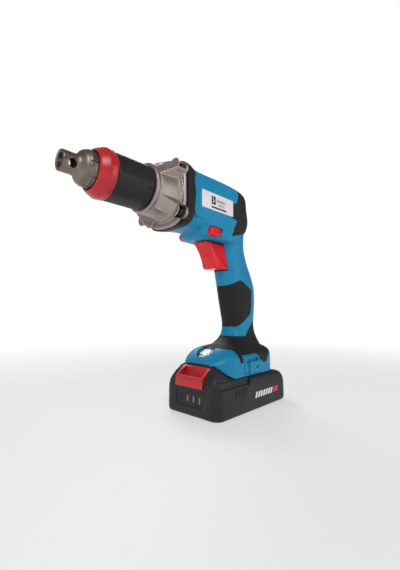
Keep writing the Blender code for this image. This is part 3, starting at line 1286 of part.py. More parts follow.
def build_release():
    button = prism("release_button", button_outline(), "Y", -BUTTON_HALF_WIDTH, BUTTON_HALF_WIDTH, "red")
    front = PACK_FRONT_X - BUTTON_LIP
    roof_z = BUTTON_TOP_Z + 0.010
    scoop = [
        (front + 0.0022, BUTTON_LIP_Z - 0.0024), (-0.0580, BUTTON_TOP_Z - 0.0100),
        (BUTTON_REAR_X - 0.0024, BUTTON_TOP_Z - 0.0060), (BUTTON_REAR_X - 0.0016, BUTTON_TOP_Z - 0.0012),
        (BUTTON_REAR_X - 0.0022, roof_z), (front + 0.0016, roof_z)]
    cut(button, prism("scoop", scoop, "Y", -BUTTON_HALF_WIDTH + BUTTON_RIM, BUTTON_HALF_WIDTH - BUTTON_RIM))
    button.name = "release_button"
    coil("release_spring", (BUTTON_SPRING_X, 0, BUTTON_LOW_Z - BUTTON_SPRING_LENGTH), (0, 0, 1),
         BUTTON_SPRING_LENGTH - GAP, BUTTON_SPRING_RADIUS, BUTTON_SPRING_WIRE, 3)


def main():
    clear_scene()
    build_housing()
    build_gear_case()
    build_nose()
    build_impact()
    build_gears()
    build_motor()
    build_controls()
    build_terminals()
    build_pack()


main()
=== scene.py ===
# %% [markdown]
# # A cordless impact wrench with a long nose
# The tool is a real machine: a battery pack slides onto the foot of a pistol grip, the grip carries a
# barrel with a motor, and the motor drives a hammer that strikes the long nose round. The moving frame is
# loaded first. Every piece made below is fitted over that frame and rides on one of its bodies, so the
# finished model moves exactly as the mechanism does. Lengths in the tables are millimetres.

# %% Load the frame
from math import atan2, copysign, cos, exp, hypot, pi, radians, sin, tau

import bmesh
import bpy
from mathutils import Matrix, Vector


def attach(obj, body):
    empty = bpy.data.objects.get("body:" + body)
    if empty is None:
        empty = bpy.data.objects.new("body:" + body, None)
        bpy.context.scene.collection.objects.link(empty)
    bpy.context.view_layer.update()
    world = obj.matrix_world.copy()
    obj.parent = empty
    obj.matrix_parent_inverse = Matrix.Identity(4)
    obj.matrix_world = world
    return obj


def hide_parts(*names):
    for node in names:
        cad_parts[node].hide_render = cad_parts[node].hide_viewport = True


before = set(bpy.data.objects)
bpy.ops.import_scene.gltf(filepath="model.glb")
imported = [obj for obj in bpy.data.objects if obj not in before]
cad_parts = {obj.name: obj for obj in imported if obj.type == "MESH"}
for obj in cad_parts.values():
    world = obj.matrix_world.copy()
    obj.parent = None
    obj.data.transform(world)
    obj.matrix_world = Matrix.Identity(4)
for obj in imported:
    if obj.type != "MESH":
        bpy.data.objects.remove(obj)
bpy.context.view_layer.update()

# %% [markdown]
# ## Camera
# The tool is seen from low in front of its nose, a little below the barrel and close by, so the nose
# looks large and the foot is seen nearly level. A short lens near the object gives that strong
# perspective. The camera is placed by its position, its heading and its tilt.

# %% Camera
MM = 0.001


def place_object(name, data):
    """Make an object for some data and link it into the scene."""
    obj = bpy.data.objects.new(name, data)
    bpy.context.scene.collection.objects.link(obj)
    return obj


def place_looking(name, data, at, gaze):
    obj = place_object(name, data)
    obj.location = at
    obj.rotation_mode = "QUATERNION"
    obj.rotation_quaternion = gaze.to_track_quat("-Z", "Y")
    return obj


CAMERA_AT = Vector((-0.2930, -0.2310, 0.1036))
CAMERA_HEADING = radians(46.56)
CAMERA_TILT = radians(4.94)
lens = bpy.data.cameras.new("camera")
lens.lens = 19.85
lens.sensor_width = 36.0
lens.clip_start = 0.01
lens.clip_end = 50.0
gaze = Vector((sin(CAMERA_HEADING) * cos(CAMERA_TILT),
               cos(CAMERA_HEADING) * cos(CAMERA_TILT), sin(CAMERA_TILT)))
bpy.context.scene.camera = place_looking("camera", lens, CAMERA_AT, gaze)
print("camera looks along", [round(c, 3) for c in gaze])

# %% [markdown]
# ## Light and floor
# A small object on a pale table is lit by big soft lamps, so its black plastic shows long gentle
# highlights. Three area lamps do that. The world is bright to the eye and dimmer as a source of light, or
# the blacks would turn grey. The floor is a wide disc whose outer part glows in the world's own shade,
# so no horizon line is seen.

# %% Lamps and world
def preset(node, values):
    """Set inputs of a shader node by name."""
    for name, value in values.items():
        node.inputs[name].default_value = value


def wire(tree, *routes):
    """Link shader nodes. A route is (from node, its output, to node, its input)."""
    for source, output, target, socket in routes:
        tree.links.new(source.outputs[output], target.inputs[socket])


def area_lamp(name, at, aim, size, watts):
    light = bpy.data.lights.new(name, "AREA")
    light.shape = "RECTANGLE"
    light.size, light.size_y = size
    light.energy = watts
    place_looking(name, light, at, Vector(aim) - Vector(at))


MIDDLE = (-0.06, 0.0, 0.14)
area_lamp("key_lamp", (-0.75, -0.85, 1.00), MIDDLE, (0.60, 0.60), 8.5)
area_lamp("side_lamp", (0.55, -1.10, 0.35), MIDDLE, (0.50, 0.80), 2.6)
area_lamp("nose_lamp", (-1.15, 0.25, 0.30), MIDDLE, (0.40, 0.80), 2.0)
area_lamp("rim_lamp", (0.45, 0.85, 0.90), MIDDLE, (0.70, 0.50), 6.0)

world = bpy.data.worlds.new("studio")
bpy.context.scene.world = world
world.use_nodes = True
world.node_tree.nodes.clear()
seen, dim, pick, path, world_out = [world.node_tree.nodes.new("ShaderNode" + kind) for kind in
                                    ("Background", "Background", "MixShader", "LightPath", "OutputWorld")]
preset(seen, {"Color": (1.0, 1.0, 1.0, 1.0), "Strength": 1.0})
preset(dim, {"Color": (0.95, 0.97, 1.0, 1.0), "Strength": 0.26})
wire(world.node_tree, (path, "Is Camera Ray", pick, "Fac"), (dim, "Background", pick, 1),
     (seen, "Background", pick, 2), (pick, "Shader", world_out, "Surface"))
bpy.context.scene.view_settings.view_transform = "Standard"

# %% Floor
def floor_material():
    made = bpy.data.materials.new("pale_floor")
    made.use_nodes = True
    nodes = made.node_tree.nodes
    board = nodes["Principled BSDF"]
    preset(board, {"Base Color": (0.86, 0.86, 0.86, 1.0), "Roughness": 0.6})
    where, length, fade, glow, blend = [nodes.new("ShaderNode" + kind) for kind in
                                        ("TexCoord", "VectorMath", "MapRange", "Emission", "MixShader")]
    length.operation = "LENGTH"
    preset(fade, {"From Min": 0.20, "From Max": 0.85, "To Min": 0.45})
    fade.interpolation_type = "SMOOTHSTEP"
    wire(made.node_tree, (where, "Object", length, 0), (length, "Value", fade, "Value"),
         (fade, "Result", blend, "Fac"), (board, "BSDF", blend, 1), (glow, "Emission", blend, 2),
         (blend, "Shader", nodes["Material Output"], "Surface"))
    return made


def mesh_of(name, bm):
    """Turn a bmesh into a mesh and free it."""
    mesh = bpy.data.meshes.new(name)
    bm.to_mesh(mesh)
    bm.free()
    return mesh


FLOOR_RADIUS = 12.0
bm = bmesh.new()
bmesh.ops.create_circle(bm, cap_ends=True, segments=64, radius=FLOOR_RADIUS)
bmesh.ops.translate(bm, verts=bm.verts, vec=(0, 0, -0.0004))
floor = place_object("floor", mesh_of("floor", bm))
floor.data.materials.append(floor_material())

# %% [markdown]
# ## Finishes
# Moulded plastic is never one flat colour. It has a fine spark-eroded grain, slow drifts in tone where
# the melt flowed, a sheen that varies, and edges rubbed a little lighter. Metal shows casting mottle or
# turning lines. One maker builds every finish from the same few nodes: slow noise for tone, fine noise
# for grain, and the surface's own curvature for wear. All noise reads Object coordinates, which are the
# tool's own metres, so a pattern stays put when a piece moves.

# %% Finish maker
def linear(red, green, blue):
    """A colour given as 0 to 255 screen values, as the linear numbers a shader wants."""
    return tuple(((c / 255 + 0.055) / 1.055) ** 2.4 if c > 10 else c / 255 / 12.92 for c in (red, green, blue))


def finish(name, screen_colour, roughness, metallic=0.0, grain=(900.0, 0.06), tone=0.10, wear=0.25,
           sheen_drift=0.10,
           coat=0.0, stretch=(1.0, 1.0, 1.0), drift_scale=28.0, second=None, shine=0.5):
    """A material with drifting tone, fine grain, varying gloss and lighter edges."""
    made = bpy.data.materials.new(name)
    made.use_nodes = True
    shader = made.node_tree.nodes["Principled BSDF"]
    where, mapping, slow, ramp, edge, edge_range, worn, gloss, fine, bump = [
        made.node_tree.nodes.new("ShaderNode" + kind) for kind in
        ("TexCoord", "Mapping", "TexNoise", "ValToRGB", "NewGeometry", "MapRange", "Mix", "MapRange", "TexNoise",
         "Bump")]
    preset(shader, {"Metallic": metallic, "Coat Weight": coat, "Specular IOR Level": shine, "Coat Roughness": 0.12})
    preset(mapping, {"Scale": stretch})
    preset(slow, {"Scale": drift_scale, "Detail": 4.0})
    base = linear(*screen_colour)
    other = linear(*second) if second else base
    dark_end, light_end = ramp.color_ramp.elements
    dark_end.position, light_end.position = 0.30, 0.72
    dark_end.color = (*[c * (1 - tone) for c in base], 1.0)
    light_end.color = (*[min(1.0, c * (1 + tone)) for c in other], 1.0)
    preset(edge_range, {"From Min": 0.53, "From Max": 0.66, "To Max": wear})
    worn.data_type = "RGBA"
    preset(worn, {"B": (*[min(1.0, c * 1.7 + 0.05) for c in other], 1.0)})
    preset(gloss, {"From Min": 0.3, "From Max": 0.7, "To Min": max(0.03, roughness - sheen_drift),
                   "To Max": min(1.0, roughness + sheen_drift)})
    preset(fine, {"Scale": grain[0], "Detail": 3.0})
    preset(bump, {"Strength": grain[1], "Distance": 0.0004})
    wire(made.node_tree, (where, "Object", mapping, "Vector"), (mapping, "Vector", slow, "Vector"),
         (slow, "Fac", ramp, "Fac"), (edge, "Pointiness", edge_range, "Value"),
         (edge_range, "Result", worn, "Factor"), (ramp, "Color", worn, "A"), (worn, "Result", shader, "Base Color"),
         (slow, "Fac", gloss, "Value"), (gloss, "Result", shader, "Roughness"),
         (mapping, "Vector", fine, "Vector"), (fine, "Fac", bump, "Height"), (bump, "Normal", shader, "Normal"))
    return made


# %% The tool's finishes
FINISH = {
    "blue": finish(
        "housing_blue_moulded", (0, 130, 172), 0.44, grain=(1500, 0.10), tone=0.05, wear=0.22, shine=0.32),
    "rubber": finish(
        "soft_black_overmould", (24, 23, 25), 0.62, grain=(1900, 0.30), tone=0.12, wear=0.08, shine=0.32),
    "sleeve": finish(
        "nose_black_moulded", (24, 23, 26), 0.48, grain=(1700, 0.14), tone=0.10, wear=0.10, shine=0.35),
    "ring_red": finish(
        "ring_red_moulded", (180, 18, 30), 0.38, grain=(1300, 0.07), tone=0.05, wear=0.25, coat=0.05),
    "gloss_red": finish(
        "control_red_gloss", (224, 0, 26), 0.22, grain=(700, 0.03), tone=0.04, wear=0.10, coat=0.2, shine=0.4),
    "cast": finish(
        "cast_alloy_satin", (158, 147, 141), 0.46, 1.0, grain=(620, 0.30), tone=0.08, wear=0.45, drift_scale=60,
        second=(172, 160, 153)),
    "nose_steel": finish(
        "nose_steel_dark", (114, 105, 99), 0.42, 1.0, grain=(420, 0.16), tone=0.14, wear=0.60,
        stretch=(3.0, 1.0, 1.0), second=(134, 122, 112)),
    "steel": finish("hardened_steel", (122, 122, 126), 0.34, 1.0, grain=(500, 0.15), tone=0.12, wear=0.5),
    "bright": finish(
        "ground_bright_steel", (205, 206, 210), 0.20, 1.0, grain=(800, 0.08), tone=0.06, wear=0.3,
        stretch=(6.0, 1.0, 1.0)),
    "screw": finish("black_oxide_screw", (44, 43, 45), 0.30, 0.8, grain=(900, 0.12), tone=0.15, wear=0.7),
    "bronze": finish("sintered_bronze", (176, 134, 84), 0.42, 1.0, grain=(1400, 0.35), tone=0.14, wear=0.3),
    "copper": finish(
        "winding_copper", (188, 110, 74), 0.36, 1.0, grain=(260, 0.5), tone=0.2, stretch=(0.2, 1, 1)),
    "board": finish("board_green", (14, 92, 46), 0.36, grain=(240, 0.10), tone=0.15, wear=0.2),
    "inner": finish("inner_black_moulded", (27, 27, 29), 0.52, grain=(1200, 0.15), tone=0.1, wear=0.15),
    "pack": finish(
        "pack_charcoal_moulded", (27, 29, 33), 0.48, grain=(1600, 0.20), tone=0.10, wear=0.18, shine=0.38),
    "label": finish("label_film", (226, 221, 226), 0.30, grain=(500, 0.04), tone=0.02, wear=0.0, coat=0.3),
    "chrome": finish(
        "lamp_mirror", (232, 234, 238), 0.07, 1.0, grain=(300, 0.03), tone=0.03, wear=0.0, sheen_drift=0.03),
    "emitter": finish("lamp_phosphor", (236, 214, 120), 0.5, grain=(2500, 0.2), tone=0.06, wear=0.0),
    "gauge": finish("gauge_smoked", (112, 117, 122), 0.25, grain=(800, 0.05), tone=0.05, wear=0.1),
    "cell": finish("cell_wrap", (38, 108, 92), 0.30, grain=(300, 0.08), tone=0.06, wear=0.2, coat=0.3),
}


for look, name, colour, tone in (("ink", "label_ink_black", (24, 24, 27), 0.05),
                                 ("ink_grey", "label_ink_grey", (150, 150, 156), 0.05),
                                 ("ink_white", "pack_ink_white", (232, 232, 234), 0.03),
                                 ("ink_red", "pack_ink_red", (206, 28, 40), 0.03)):
    FINISH[look] = finish(name, colour, 0.40, grain=(500, 0.05), tone=tone, wear=0.0)


def clear_finish(name, tint, roughness):
    made = finish(name, tint, roughness, grain=(400, 0.03), tone=0.02, wear=0.0, sheen_drift=0.02)
    preset(made.node_tree.nodes["Principled BSDF"], {"Transmission Weight": 0.93, "IOR": 1.47})
    return made


FINISH["lens"] = clear_finish("lamp_clear_cover", (238, 242, 246), 0.05)
print("finishes:", len(FINISH))

# %% [markdown]
# ## Helpers for solids
# Most pieces are turned, extruded or lofted. Each helper starts a bmesh, shapes it with operators and
# hands back an object whose mesh is still in millimetres. Boolean steps join and cut such objects.
# `publish` ends every piece: it scales the mesh to metres, shades it, gives it its finish and puts it on
# a body, so the object itself stays at the origin, unturned.

# %% Solids from outlines and profiles
def solid(name, bm):
    bmesh.ops.remove_doubles(bm, verts=bm.verts, dist=0.0005)
    bmesh.ops.recalc_face_normals(bm, faces=bm.faces)
    return place_object(name, mesh_of(name, bm))


AXIS = 217.0


def turned(name, profile, steps=96, centre=(0.0, 0.0, AXIS)):
    """Spin a closed profile of (x, radius) about a line along X through the centre."""
    bm = bmesh.new()
    verts = [bm.verts.new((x, 0.0, radius)) for x, radius in profile]
    edges = [bm.edges.new(pair) for pair in zip(verts, verts[1:] + verts[:1])
             if max(pair[0].co.z, pair[1].co.z) > 1e-6]
    bmesh.ops.spin(bm, geom=verts + edges, cent=(0, 0, 0), axis=(1, 0, 0), dvec=(0, 0, 0), angle=tau,
                   steps=steps, use_merge=True, use_duplicate=False)
    bmesh.ops.translate(bm, verts=bm.verts, vec=centre)
    return solid(name, bm)


def rod(name, start, end, radius, steps=32, y=0.0, z=AXIS):
    return turned(name, [(start, 0), (start, radius), (end, radius), (end, 0)], steps, (0.0, y, z))


def prism(name, outline, axis, low, high):
    """Extrude a flat outline along an axis. Its points hold the other two axes in order."""
    index = "XYZ".index(axis)
    bm = bmesh.new()
    verts = []
    for place in outline:
        verts.append(bm.verts.new((*place[:index], low, *place[index:])))
    for pair in zip(verts, verts[1:] + verts[:1]):
        bm.edges.new(pair)
    bmesh.ops.triangle_fill(bm, use_beauty=True, use_dissolve=False, edges=bm.edges[:])
    pushed = bmesh.ops.extrude_face_region(bm, geom=bm.faces[:] + bm.edges[:] + bm.verts[:])
    moved = [item for item in pushed["geom"] if isinstance(item, bmesh.types.BMVert)]
    shift = [0.0, 0.0, 0.0]
    shift[index] = high - low
    bmesh.ops.translate(bm, verts=moved, vec=shift)
    return solid(name, bm)


def through_prism(name, outline, reach):
    return prism(name, outline, "Y", -reach, reach)


def box(name, low, high):
    return prism(name, rectangle(low, high), "Z", low[2], high[2])


def loft(name, rings):
    """Join closed rings of points with bridge_loops and cap both ends."""
    bm = bmesh.new()
    loops = []
    for ring in rings:
        verts = [bm.verts.new(point) for point in ring]
        loops.append([bm.edges.new((verts[i - 1], verts[i])) for i in range(len(verts))])
        if ring is rings[0] or ring is rings[-1]:
            bm.faces.new(verts)
    for first, second in zip(loops, loops[1:]):
        bmesh.ops.bridge_loops(bm, edges=first + second)
    bmesh.ops.triangulate(bm, faces=[face for face in bm.faces if len(face.verts) > 4])
    return solid(name, bm)


def hull(name, points):
    bm = bmesh.new()
    verts = [bm.verts.new(point) for point in points]
    made = bmesh.ops.convex_hull(bm, input=verts)
    bmesh.ops.delete(bm, geom=[v for v in set(made["geom_interior"] + made["geom_unused"])
                               if isinstance(v, bmesh.types.BMVert)], context="VERTS")
    return solid(name, bm)


# %% Outlines
def rounded(outline, radius, steps=4):
    """Round every corner of an outline with a short curve."""
    points = []
    for index, corner in enumerate(outline):
        here = Vector(corner)
        before, after = Vector(outline[index - 1]) - here, Vector(outline[(index + 1) % len(outline)]) - here
        reach = min(radius, before.length * 0.45, after.length * 0.45)
        start, end = here + before.normalized() * reach, here + after.normalized() * reach
        for step in range(steps + 1):
            t = step / steps
            points.append(tuple(start.lerp(here, t).lerp(here.lerp(end, t), t)))
    return points


def rectangle(low, high, corner=0.0, steps=5):
    flat = [(low[0], low[1]), (high[0], low[1]), (high[0], high[1]), (low[0], high[1])]
    return rounded(flat, corner, steps) if corner else flat


def circle(centre, radius, steps=32):
    turns = [tau * i / steps for i in range(steps)]
    return [(centre[0] + radius * cos(turn), centre[1] + radius * sin(turn)) for turn in turns]


def grown(outline, amount):
    """Move every edge of a counter-clockwise outline outwards by amount."""
    moved = []
    for index, corner in enumerate(outline):
        before = (Vector(corner) - Vector(outline[index - 1])).normalized()
        after = (Vector(outline[(index + 1) % len(outline)]) - Vector(corner)).normalized()
        out = (Vector((before.y, -before.x)) + Vector((after.y, -after.x))).normalized()
        reach = amount / max(0.5, out.dot(Vector((before.y, -before.x))))
        moved.append((corner[0] + out.x * reach, corner[1] + out.y * reach))
    return moved


def pillow(name, outline, axis, low, high, radius, steps=5):
    """An extruded outline whose end edges are rounded over by a radius."""
    index = "XYZ".index(axis)
    turns = [pi / 2 * i / steps for i in range(steps + 1)]
    rounds = [(radius * (1 - sin(turn)), radius * (1 - cos(turn))) for turn in turns]
    levels = [(low + rise, -pull) for pull, rise in rounds]
    levels += [(high - rise, -pull) for pull, rise in reversed(rounds)]
    rings = []
    for at, pull in levels:
        rings.append([(*place[:index], at, *place[index:]) for place in grown(outline, pull)])
    return loft(name, rings)


# %% Boolean, remesh and publish
def evaluated(obj):
    graph = bpy.context.evaluated_depsgraph_get()
    mesh = bpy.data.meshes.new_from_object(obj.evaluated_get(graph))
    obj.modifiers.clear()
    obj.data = mesh
    return obj


def boolean(target, tool, operation, keep=False, solver="MANIFOLD"):
    step = target.modifiers.new("step", "BOOLEAN")
    step.operation, step.object, step.solver = operation, tool, solver
    evaluated(target)
    if not keep:
        bpy.data.objects.remove(tool, do_unlink=True)
    return target


def cut(target, *tools):
    for tool in tools:
        boolean(target, tool, "DIFFERENCE")
    return target


def join(target, *tools):
    for tool in tools:
        boolean(target, tool, "UNION")
    return target


def twin(obj, name):
    return place_object(name, obj.data.copy())


def merged(name, *objects):
    """Put several closed solids into one mesh, ready to be melted together."""
    bm = bmesh.new()
    for obj in objects:
        bm.from_mesh(obj.data)
        bpy.data.objects.remove(obj, do_unlink=True)
    return place_object(name, mesh_of(name, bm))


def melt(obj, voxel, passes, factor=0.5):
    """Remesh overlapping solids into one skin and soften it, which leaves moulded fillets."""
    step = obj.modifiers.new("melt", "REMESH")
    step.mode, step.voxel_size = "VOXEL", voxel
    evaluated(obj)
    bm = bmesh.new()
    bm.from_mesh(obj.data)
    for _ in range(passes):
        bmesh.ops.smooth_vert(bm, verts=bm.verts, factor=factor, use_axis_x=True, use_axis_y=True, use_axis_z=True)
    bm.to_mesh(obj.data)
    bm.free()
    return obj


def publish(obj, name, body, look, replaces=(), sharp=32):
    """Scale to metres, shade, paint and hand the piece to its body."""
    obj.name = name
    obj.data.transform(Matrix.Scale(MM, 4))
    obj.data.shade_smooth()
    obj.data.set_sharp_from_angle(angle=radians(sharp))
    obj.data.materials.clear()
    obj.data.materials.append(FINISH[look])
    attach(obj, body)
    if replaces:
        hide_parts(*replaces)
    print(f"{name}: {len(obj.data.polygons)} faces on {body}")
    return obj


# %% [markdown]
# ## Nose shaft
# The shaft turns with the socket. Its open tube takes a shank and a pin goes through the cross hole. On
# the real shaft the tube swells through a soft fillet into a collar with eight flat keys. One spun
# profile gives the turned shape, and thin slots cut across the collar leave the keys standing.

# %% Shaft
TURN_DOWN = Matrix.Translation((0, 0, AXIS))


def about_axis(obj, degrees):
    """Turn a solid that was made round the origin's X line, then lift it to the barrel's axis."""
    obj.data.transform(TURN_DOWN @ Matrix.Rotation(radians(degrees), 4, "X"))
    return obj


KEY_COUNT = 8
SHAFT_TURN = 19.0
CROSS_HOLE_X = -194.0
shaft = turned("shaft", [
    (-201.2, 5.5), (-201.7, 6.1), (-201.7, 7.5), (-201.5, 8.0), (-200.9, 8.3), (-192.6, 8.3), (-191.2, 8.4),
    (-190.0, 8.7), (-188.9, 9.4), (-187.9, 10.5), (-187.0, 11.8), (-186.0, 12.9), (-184.8, 13.7), (-183.6, 14.1),
    (-183.2, 14.2), (-182.9, 14.5), (-182.6, 14.7), (-180.3, 14.8), (-180.2, 14.5), (-179.8, 14.5), (-179.7, 14.8),
    (-176.6, 14.8), (-176.2, 14.4), (-176.1, 13.9), (-168.0, 13.9), (-168.0, 8.0), (-129.0, 8.0), (-129.0, 0),
    (-187.0, 0), (-187.0, 5.5)], 128)
for index in range(KEY_COUNT):
    slot_box = box("key_slot", (-183.4, -0.75, 14.15), (-175.9, 0.75, 16.0))
    cut(shaft, about_axis(slot_box, SHAFT_TURN + 360 / KEY_COUNT * (index + 0.5) + 90))
cut(shaft, about_axis(through_prism("cross_hole", circle((CROSS_HOLE_X, 0.0), 3.5, 40), 12.0), SHAFT_TURN))
for side in (-1, 1):
    rim = [[(x, side * y, z) for x, z in circle((CROSS_HOLE_X, 0.0), r, 40)] for y, r in ((7.0, 3.2), (8.9, 4.6))]
    cut(shaft, about_axis(loft("cross_rim", rim), SHAFT_TURN))
cut(shaft, about_axis(box("square", (-138.8, -4.7, -4.7), (-128.0, 4.7, 4.7)), SHAFT_TURN))
publish(shaft, "nose_shaft", "output", "nose_steel", ["output_shaft"])

# %% [markdown]
# ## Red ring and black sleeve
# Both are turned mouldings. The ring is a bowl that flares back from the collar, with a fine bead before
# its rear edge. The sleeve isn't quite round: eight shallow flats run along it and a dimple sits near the
# rear of each. The flats come from easing the spun points inwards between eight lines.

# %% Ring and sleeve
ring = turned("ring", [
    (-176.9, 15.6), (-177.2, 15.9), (-177.3, 16.4), (-177.0, 17.1), (-176.2, 17.8), (-173.6, 19.35), (-171.0, 20.7),
    (-170.0, 21.1), (-168.8, 21.25), (-167.0, 21.2), (-165.3, 21.05), (-165.05, 20.8), (-164.8, 20.8),
    (-164.6, 21.05), (-164.0, 21.0), (-163.6, 20.8), (-163.4, 20.4), (-163.4, 16.7), (-157.9, 16.7), (-157.9, 15.6)], 144)
publish(ring, "nose_red_ring", "tool", "ring_red", ["nose_ring"])

FLATS = 8
FLAT_LINE = -8.0
FLAT_DEPTH = 0.45
sleeve = turned("sleeve", [
    (-163.1, 17.0), (-163.1, 20.5), (-162.9, 20.9), (-162.5, 21.15), (-155.0, 21.2), (-145.0, 21.2), (-136.0, 21.2),
    (-128.4, 21.2), (-127.8, 21.0), (-127.4, 20.6), (-127.3, 20.2), (-127.3, 16.0), (-157.6, 16.0),
    (-157.6, 17.0)], 160)
half_flat = pi / FLATS
for vert in sleeve.data.vertices:
    y, z = vert.co.y, vert.co.z - AXIS
    radius = hypot(y, z)
    if radius < 20.0:
        continue
    turn = (atan2(z, -y) - radians(FLAT_LINE)) % (2 * half_flat) - half_flat
    eased = radius * (1 - FLAT_DEPTH * (1 - cos(half_flat) / cos(turn)))
    vert.co.y, vert.co.z = y * eased / radius, z * eased / radius + AXIS
DIMPLE_X, DIMPLE_FROM_AXIS, DIMPLE_RADIUS = -131.4, 21.4, 1.7
for index in range(FLATS):
    turn = radians(-SHAFT_TURN + 360 / FLATS * index)
    bm = bmesh.new()
    bmesh.ops.create_icosphere(bm, subdivisions=3, radius=DIMPLE_RADIUS)
    bmesh.ops.translate(bm, verts=bm.verts, vec=(DIMPLE_X, -DIMPLE_FROM_AXIS * cos(turn),
                                                 AXIS + DIMPLE_FROM_AXIS * sin(turn)))
    cut(sleeve, solid("dimple", bm))
publish(sleeve, "nose_sleeve_moulded", "tool", "sleeve", ["nose_sleeve"], sharp=14)

# %% [markdown]
# ## Gear case
# The case is an aluminium casting: a beaded barrel, four bosses for the long screws, and a sloping web
# from the front bead to each boss. A casting has no sharp inside corners. The plain solids are therefore
# put together roughly, melted into one skin by a voxel remesh and softened, which fills every corner
# with a fillet. Only then are the machined faces cut: the screw pockets, the bore and the flat rear face.

# %% Casting
BOSSES = [(side * 24.0, up * 20.8) for side in (-1, 1) for up in (-1, 1)]
casting = [turned("barrel", [
    (-126.9, 0), (-126.9, 22.3), (-126.2, 23.2), (-124.6, 23.5), (-123.4, 23.2), (-122.9, 22.5), (-121.8, 22.5),
    (-121.2, 23.2), (-118.0, 23.3), (-110.0, 23.8), (-104.5, 24.8), (-101.5, 26.2), (-96.0, 26.6), (-96.0, 0)], 96)]
SQUARE = 3.2


def super_ring(half_y, up, down, power, steps):
    ring = []
    for i in range(steps):
        c, s = cos(tau * i / steps), sin(tau * i / steps)
        y = copysign(abs(c) ** (2 / power), c) * half_y
        z = copysign(abs(s) ** (2 / power), s) * (up if s > 0 else down)
        ring.append((y, z))
    return ring


for name, half, up, down, front, rear in (("flange", 27.6, 31.6, 31.4, -99.4, -96.0),
                                          ("lip", 28.4, 32.2, 32.0, -98.2, -96.6)):
    edge = [(y, z + AXIS) for y, z in super_ring(half, up, down, SQUARE, 72)]
    casting.append(prism(name, edge, "X", front, rear))
REAR_FACE_X = -96.0
for y, z in BOSSES:
    casting.append(rod("boss", -108.6, REAR_FACE_X, 6.5, 32, y, z + AXIS))
    reach = hypot(y, z)
    outward, across = Vector((y, z)) / reach, Vector((-z, y)) / reach
    corners = []
    for x, out, half in ((-121.6, 22.3, 6.6), (-121.6, 12.0, 6.6), (-109.6, reach + 0.6, 5.4), (-109.6, 18.0, 6.4),
                         (-97.0, reach + 1.6, 6.0), (-97.0, 18.0, 8.0)):
        for sign in (-1, 1):
            at = outward * out + across * half * sign
            corners.append((x, at.x, at.y + AXIS))
    casting.append(hull("web", corners))
    sign = 1 if y * z > 0 else -1
    at = outward * 22.8 + across * 6.4 * sign
    to = outward * (reach + 0.8) + across * 6.0 * sign
    casting.append(hull("rib", [(x, p.x + d * across.x + e * outward.x, p.y + AXIS + d * across.y + e * outward.y)
                                for x, p in ((-122.4, at), (-106.0, to))
                                for d in (-0.8, 0.8) for e in (-2.0, 1.0)]))
case = melt(merged("case", *casting), 0.5, 4)
for y, z in BOSSES:
    outward = Vector((y, z)).normalized()
    across = Vector((-outward.y, outward.x))
    mouth = [Vector((y, z)) + outward * out + across * side for out, side in
             ((-5.4, -2.4), (-5.4, 2.4), (-2.6, 5.2), (0.0, 5.6), (14.0, 8.4), (14.0, -8.4), (0.0, -5.6),
              (-2.6, -5.2))]
    scoop = prism("scoop", rounded([(p.x, p.y + AXIS) for p in mouth], 2.0), "X", -108.0, -99.3)
    cut(case, scoop, rod("screw_way", -101.0, -95.0, 2.3, 20, y, z + AXIS))
cut(case, box("rear_face", (-96.1, -50, 150), (-80, 50, 290)))
join(case, turned("spigot", [(-98.0, 18.8), (-98.0, 20.6), (-84.0, 20.6), (-84.0, 18.8)], 72))
cut(case, rod("bore", -120.2, -80.0, 19.2, 72), rod("bush_way", -130.0, -118.0, 12.3, 48))
cut(case, rod("front_face", -140.0, -126.95, 30.0, 24))
publish(case, "gear_case_casting", "tool", "cast", ["gear_case"], sharp=38)

# %% [markdown]
# ## Socket screws
# Four black socket screws pull the case back against the housing. A head is a short knurled cylinder
# with a rounded rim and a hexagon socket. The socket is cut with a six-sided rod, whose end is coned as a
# broached hole's is.

# %% Case screws
for index, (y, z) in enumerate(sorted(BOSSES)):
    screw = turned("screw", [
        (-103.6, 0), (-103.6, 3.0), (-103.4, 3.4), (-103.0, 3.6), (-99.4, 3.6), (-99.4, 2.0), (-89.0, 2.0),
        (-89.0, 0)], 40, (0.0, y, z + AXIS))
    hexagon = turned("hexagon", [(-104.6, 0), (-104.6, 1.95), (-101.5, 1.95), (-100.9, 0)], 6, (0.0, y, z + AXIS))
    cut(screw, hexagon)
    publish(screw, f"case_socket_screw_{index + 1}", "tool", "screw", [f"case_screw_{index + 1}"])

# %% [markdown]
# ## Housing form
# The blue shell and its black overmould share one outer surface, as they share one mould. So that surface
# is made once, from four lofts: the barrel, the block above the trigger, the grip and the foot. Each loft
# runs smoothly through a table of stations. The four are melted into one skin, and the softening gives
# the fillets that flow from grip to barrel and from grip to foot.

# %% Station tables
def through(rows, count):
    """Smooth rows between the given ones. The first number of a row is its place along the piece."""
    slopes = []
    for i in range(len(rows)):
        before, after = rows[max(0, i - 1)], rows[min(len(rows) - 1, i + 1)]
        slopes.append([(b - a) / (after[0] - before[0]) for a, b in zip(before, after)])
    result = []
    for step in range(count + 1):
        place = rows[0][0] + (rows[-1][0] - rows[0][0]) * step / count
        i = max(k for k in range(len(rows) - 1) if rows[k][0] <= place + 1e-9)
        span = rows[i + 1][0] - rows[i][0]
        t = (place - rows[i][0]) / span
        h = (2 * t ** 3 - 3 * t ** 2 + 1, t ** 3 - 2 * t ** 2 + t, 3 * t ** 2 - 2 * t ** 3, t ** 3 - t ** 2)
        result.append([h[0] * a + h[1] * sa * span + h[2] * b + h[3] * sb * span
                       for a, sa, b, sb in zip(rows[i], slopes[i], rows[i + 1], slopes[i + 1])])
    return result


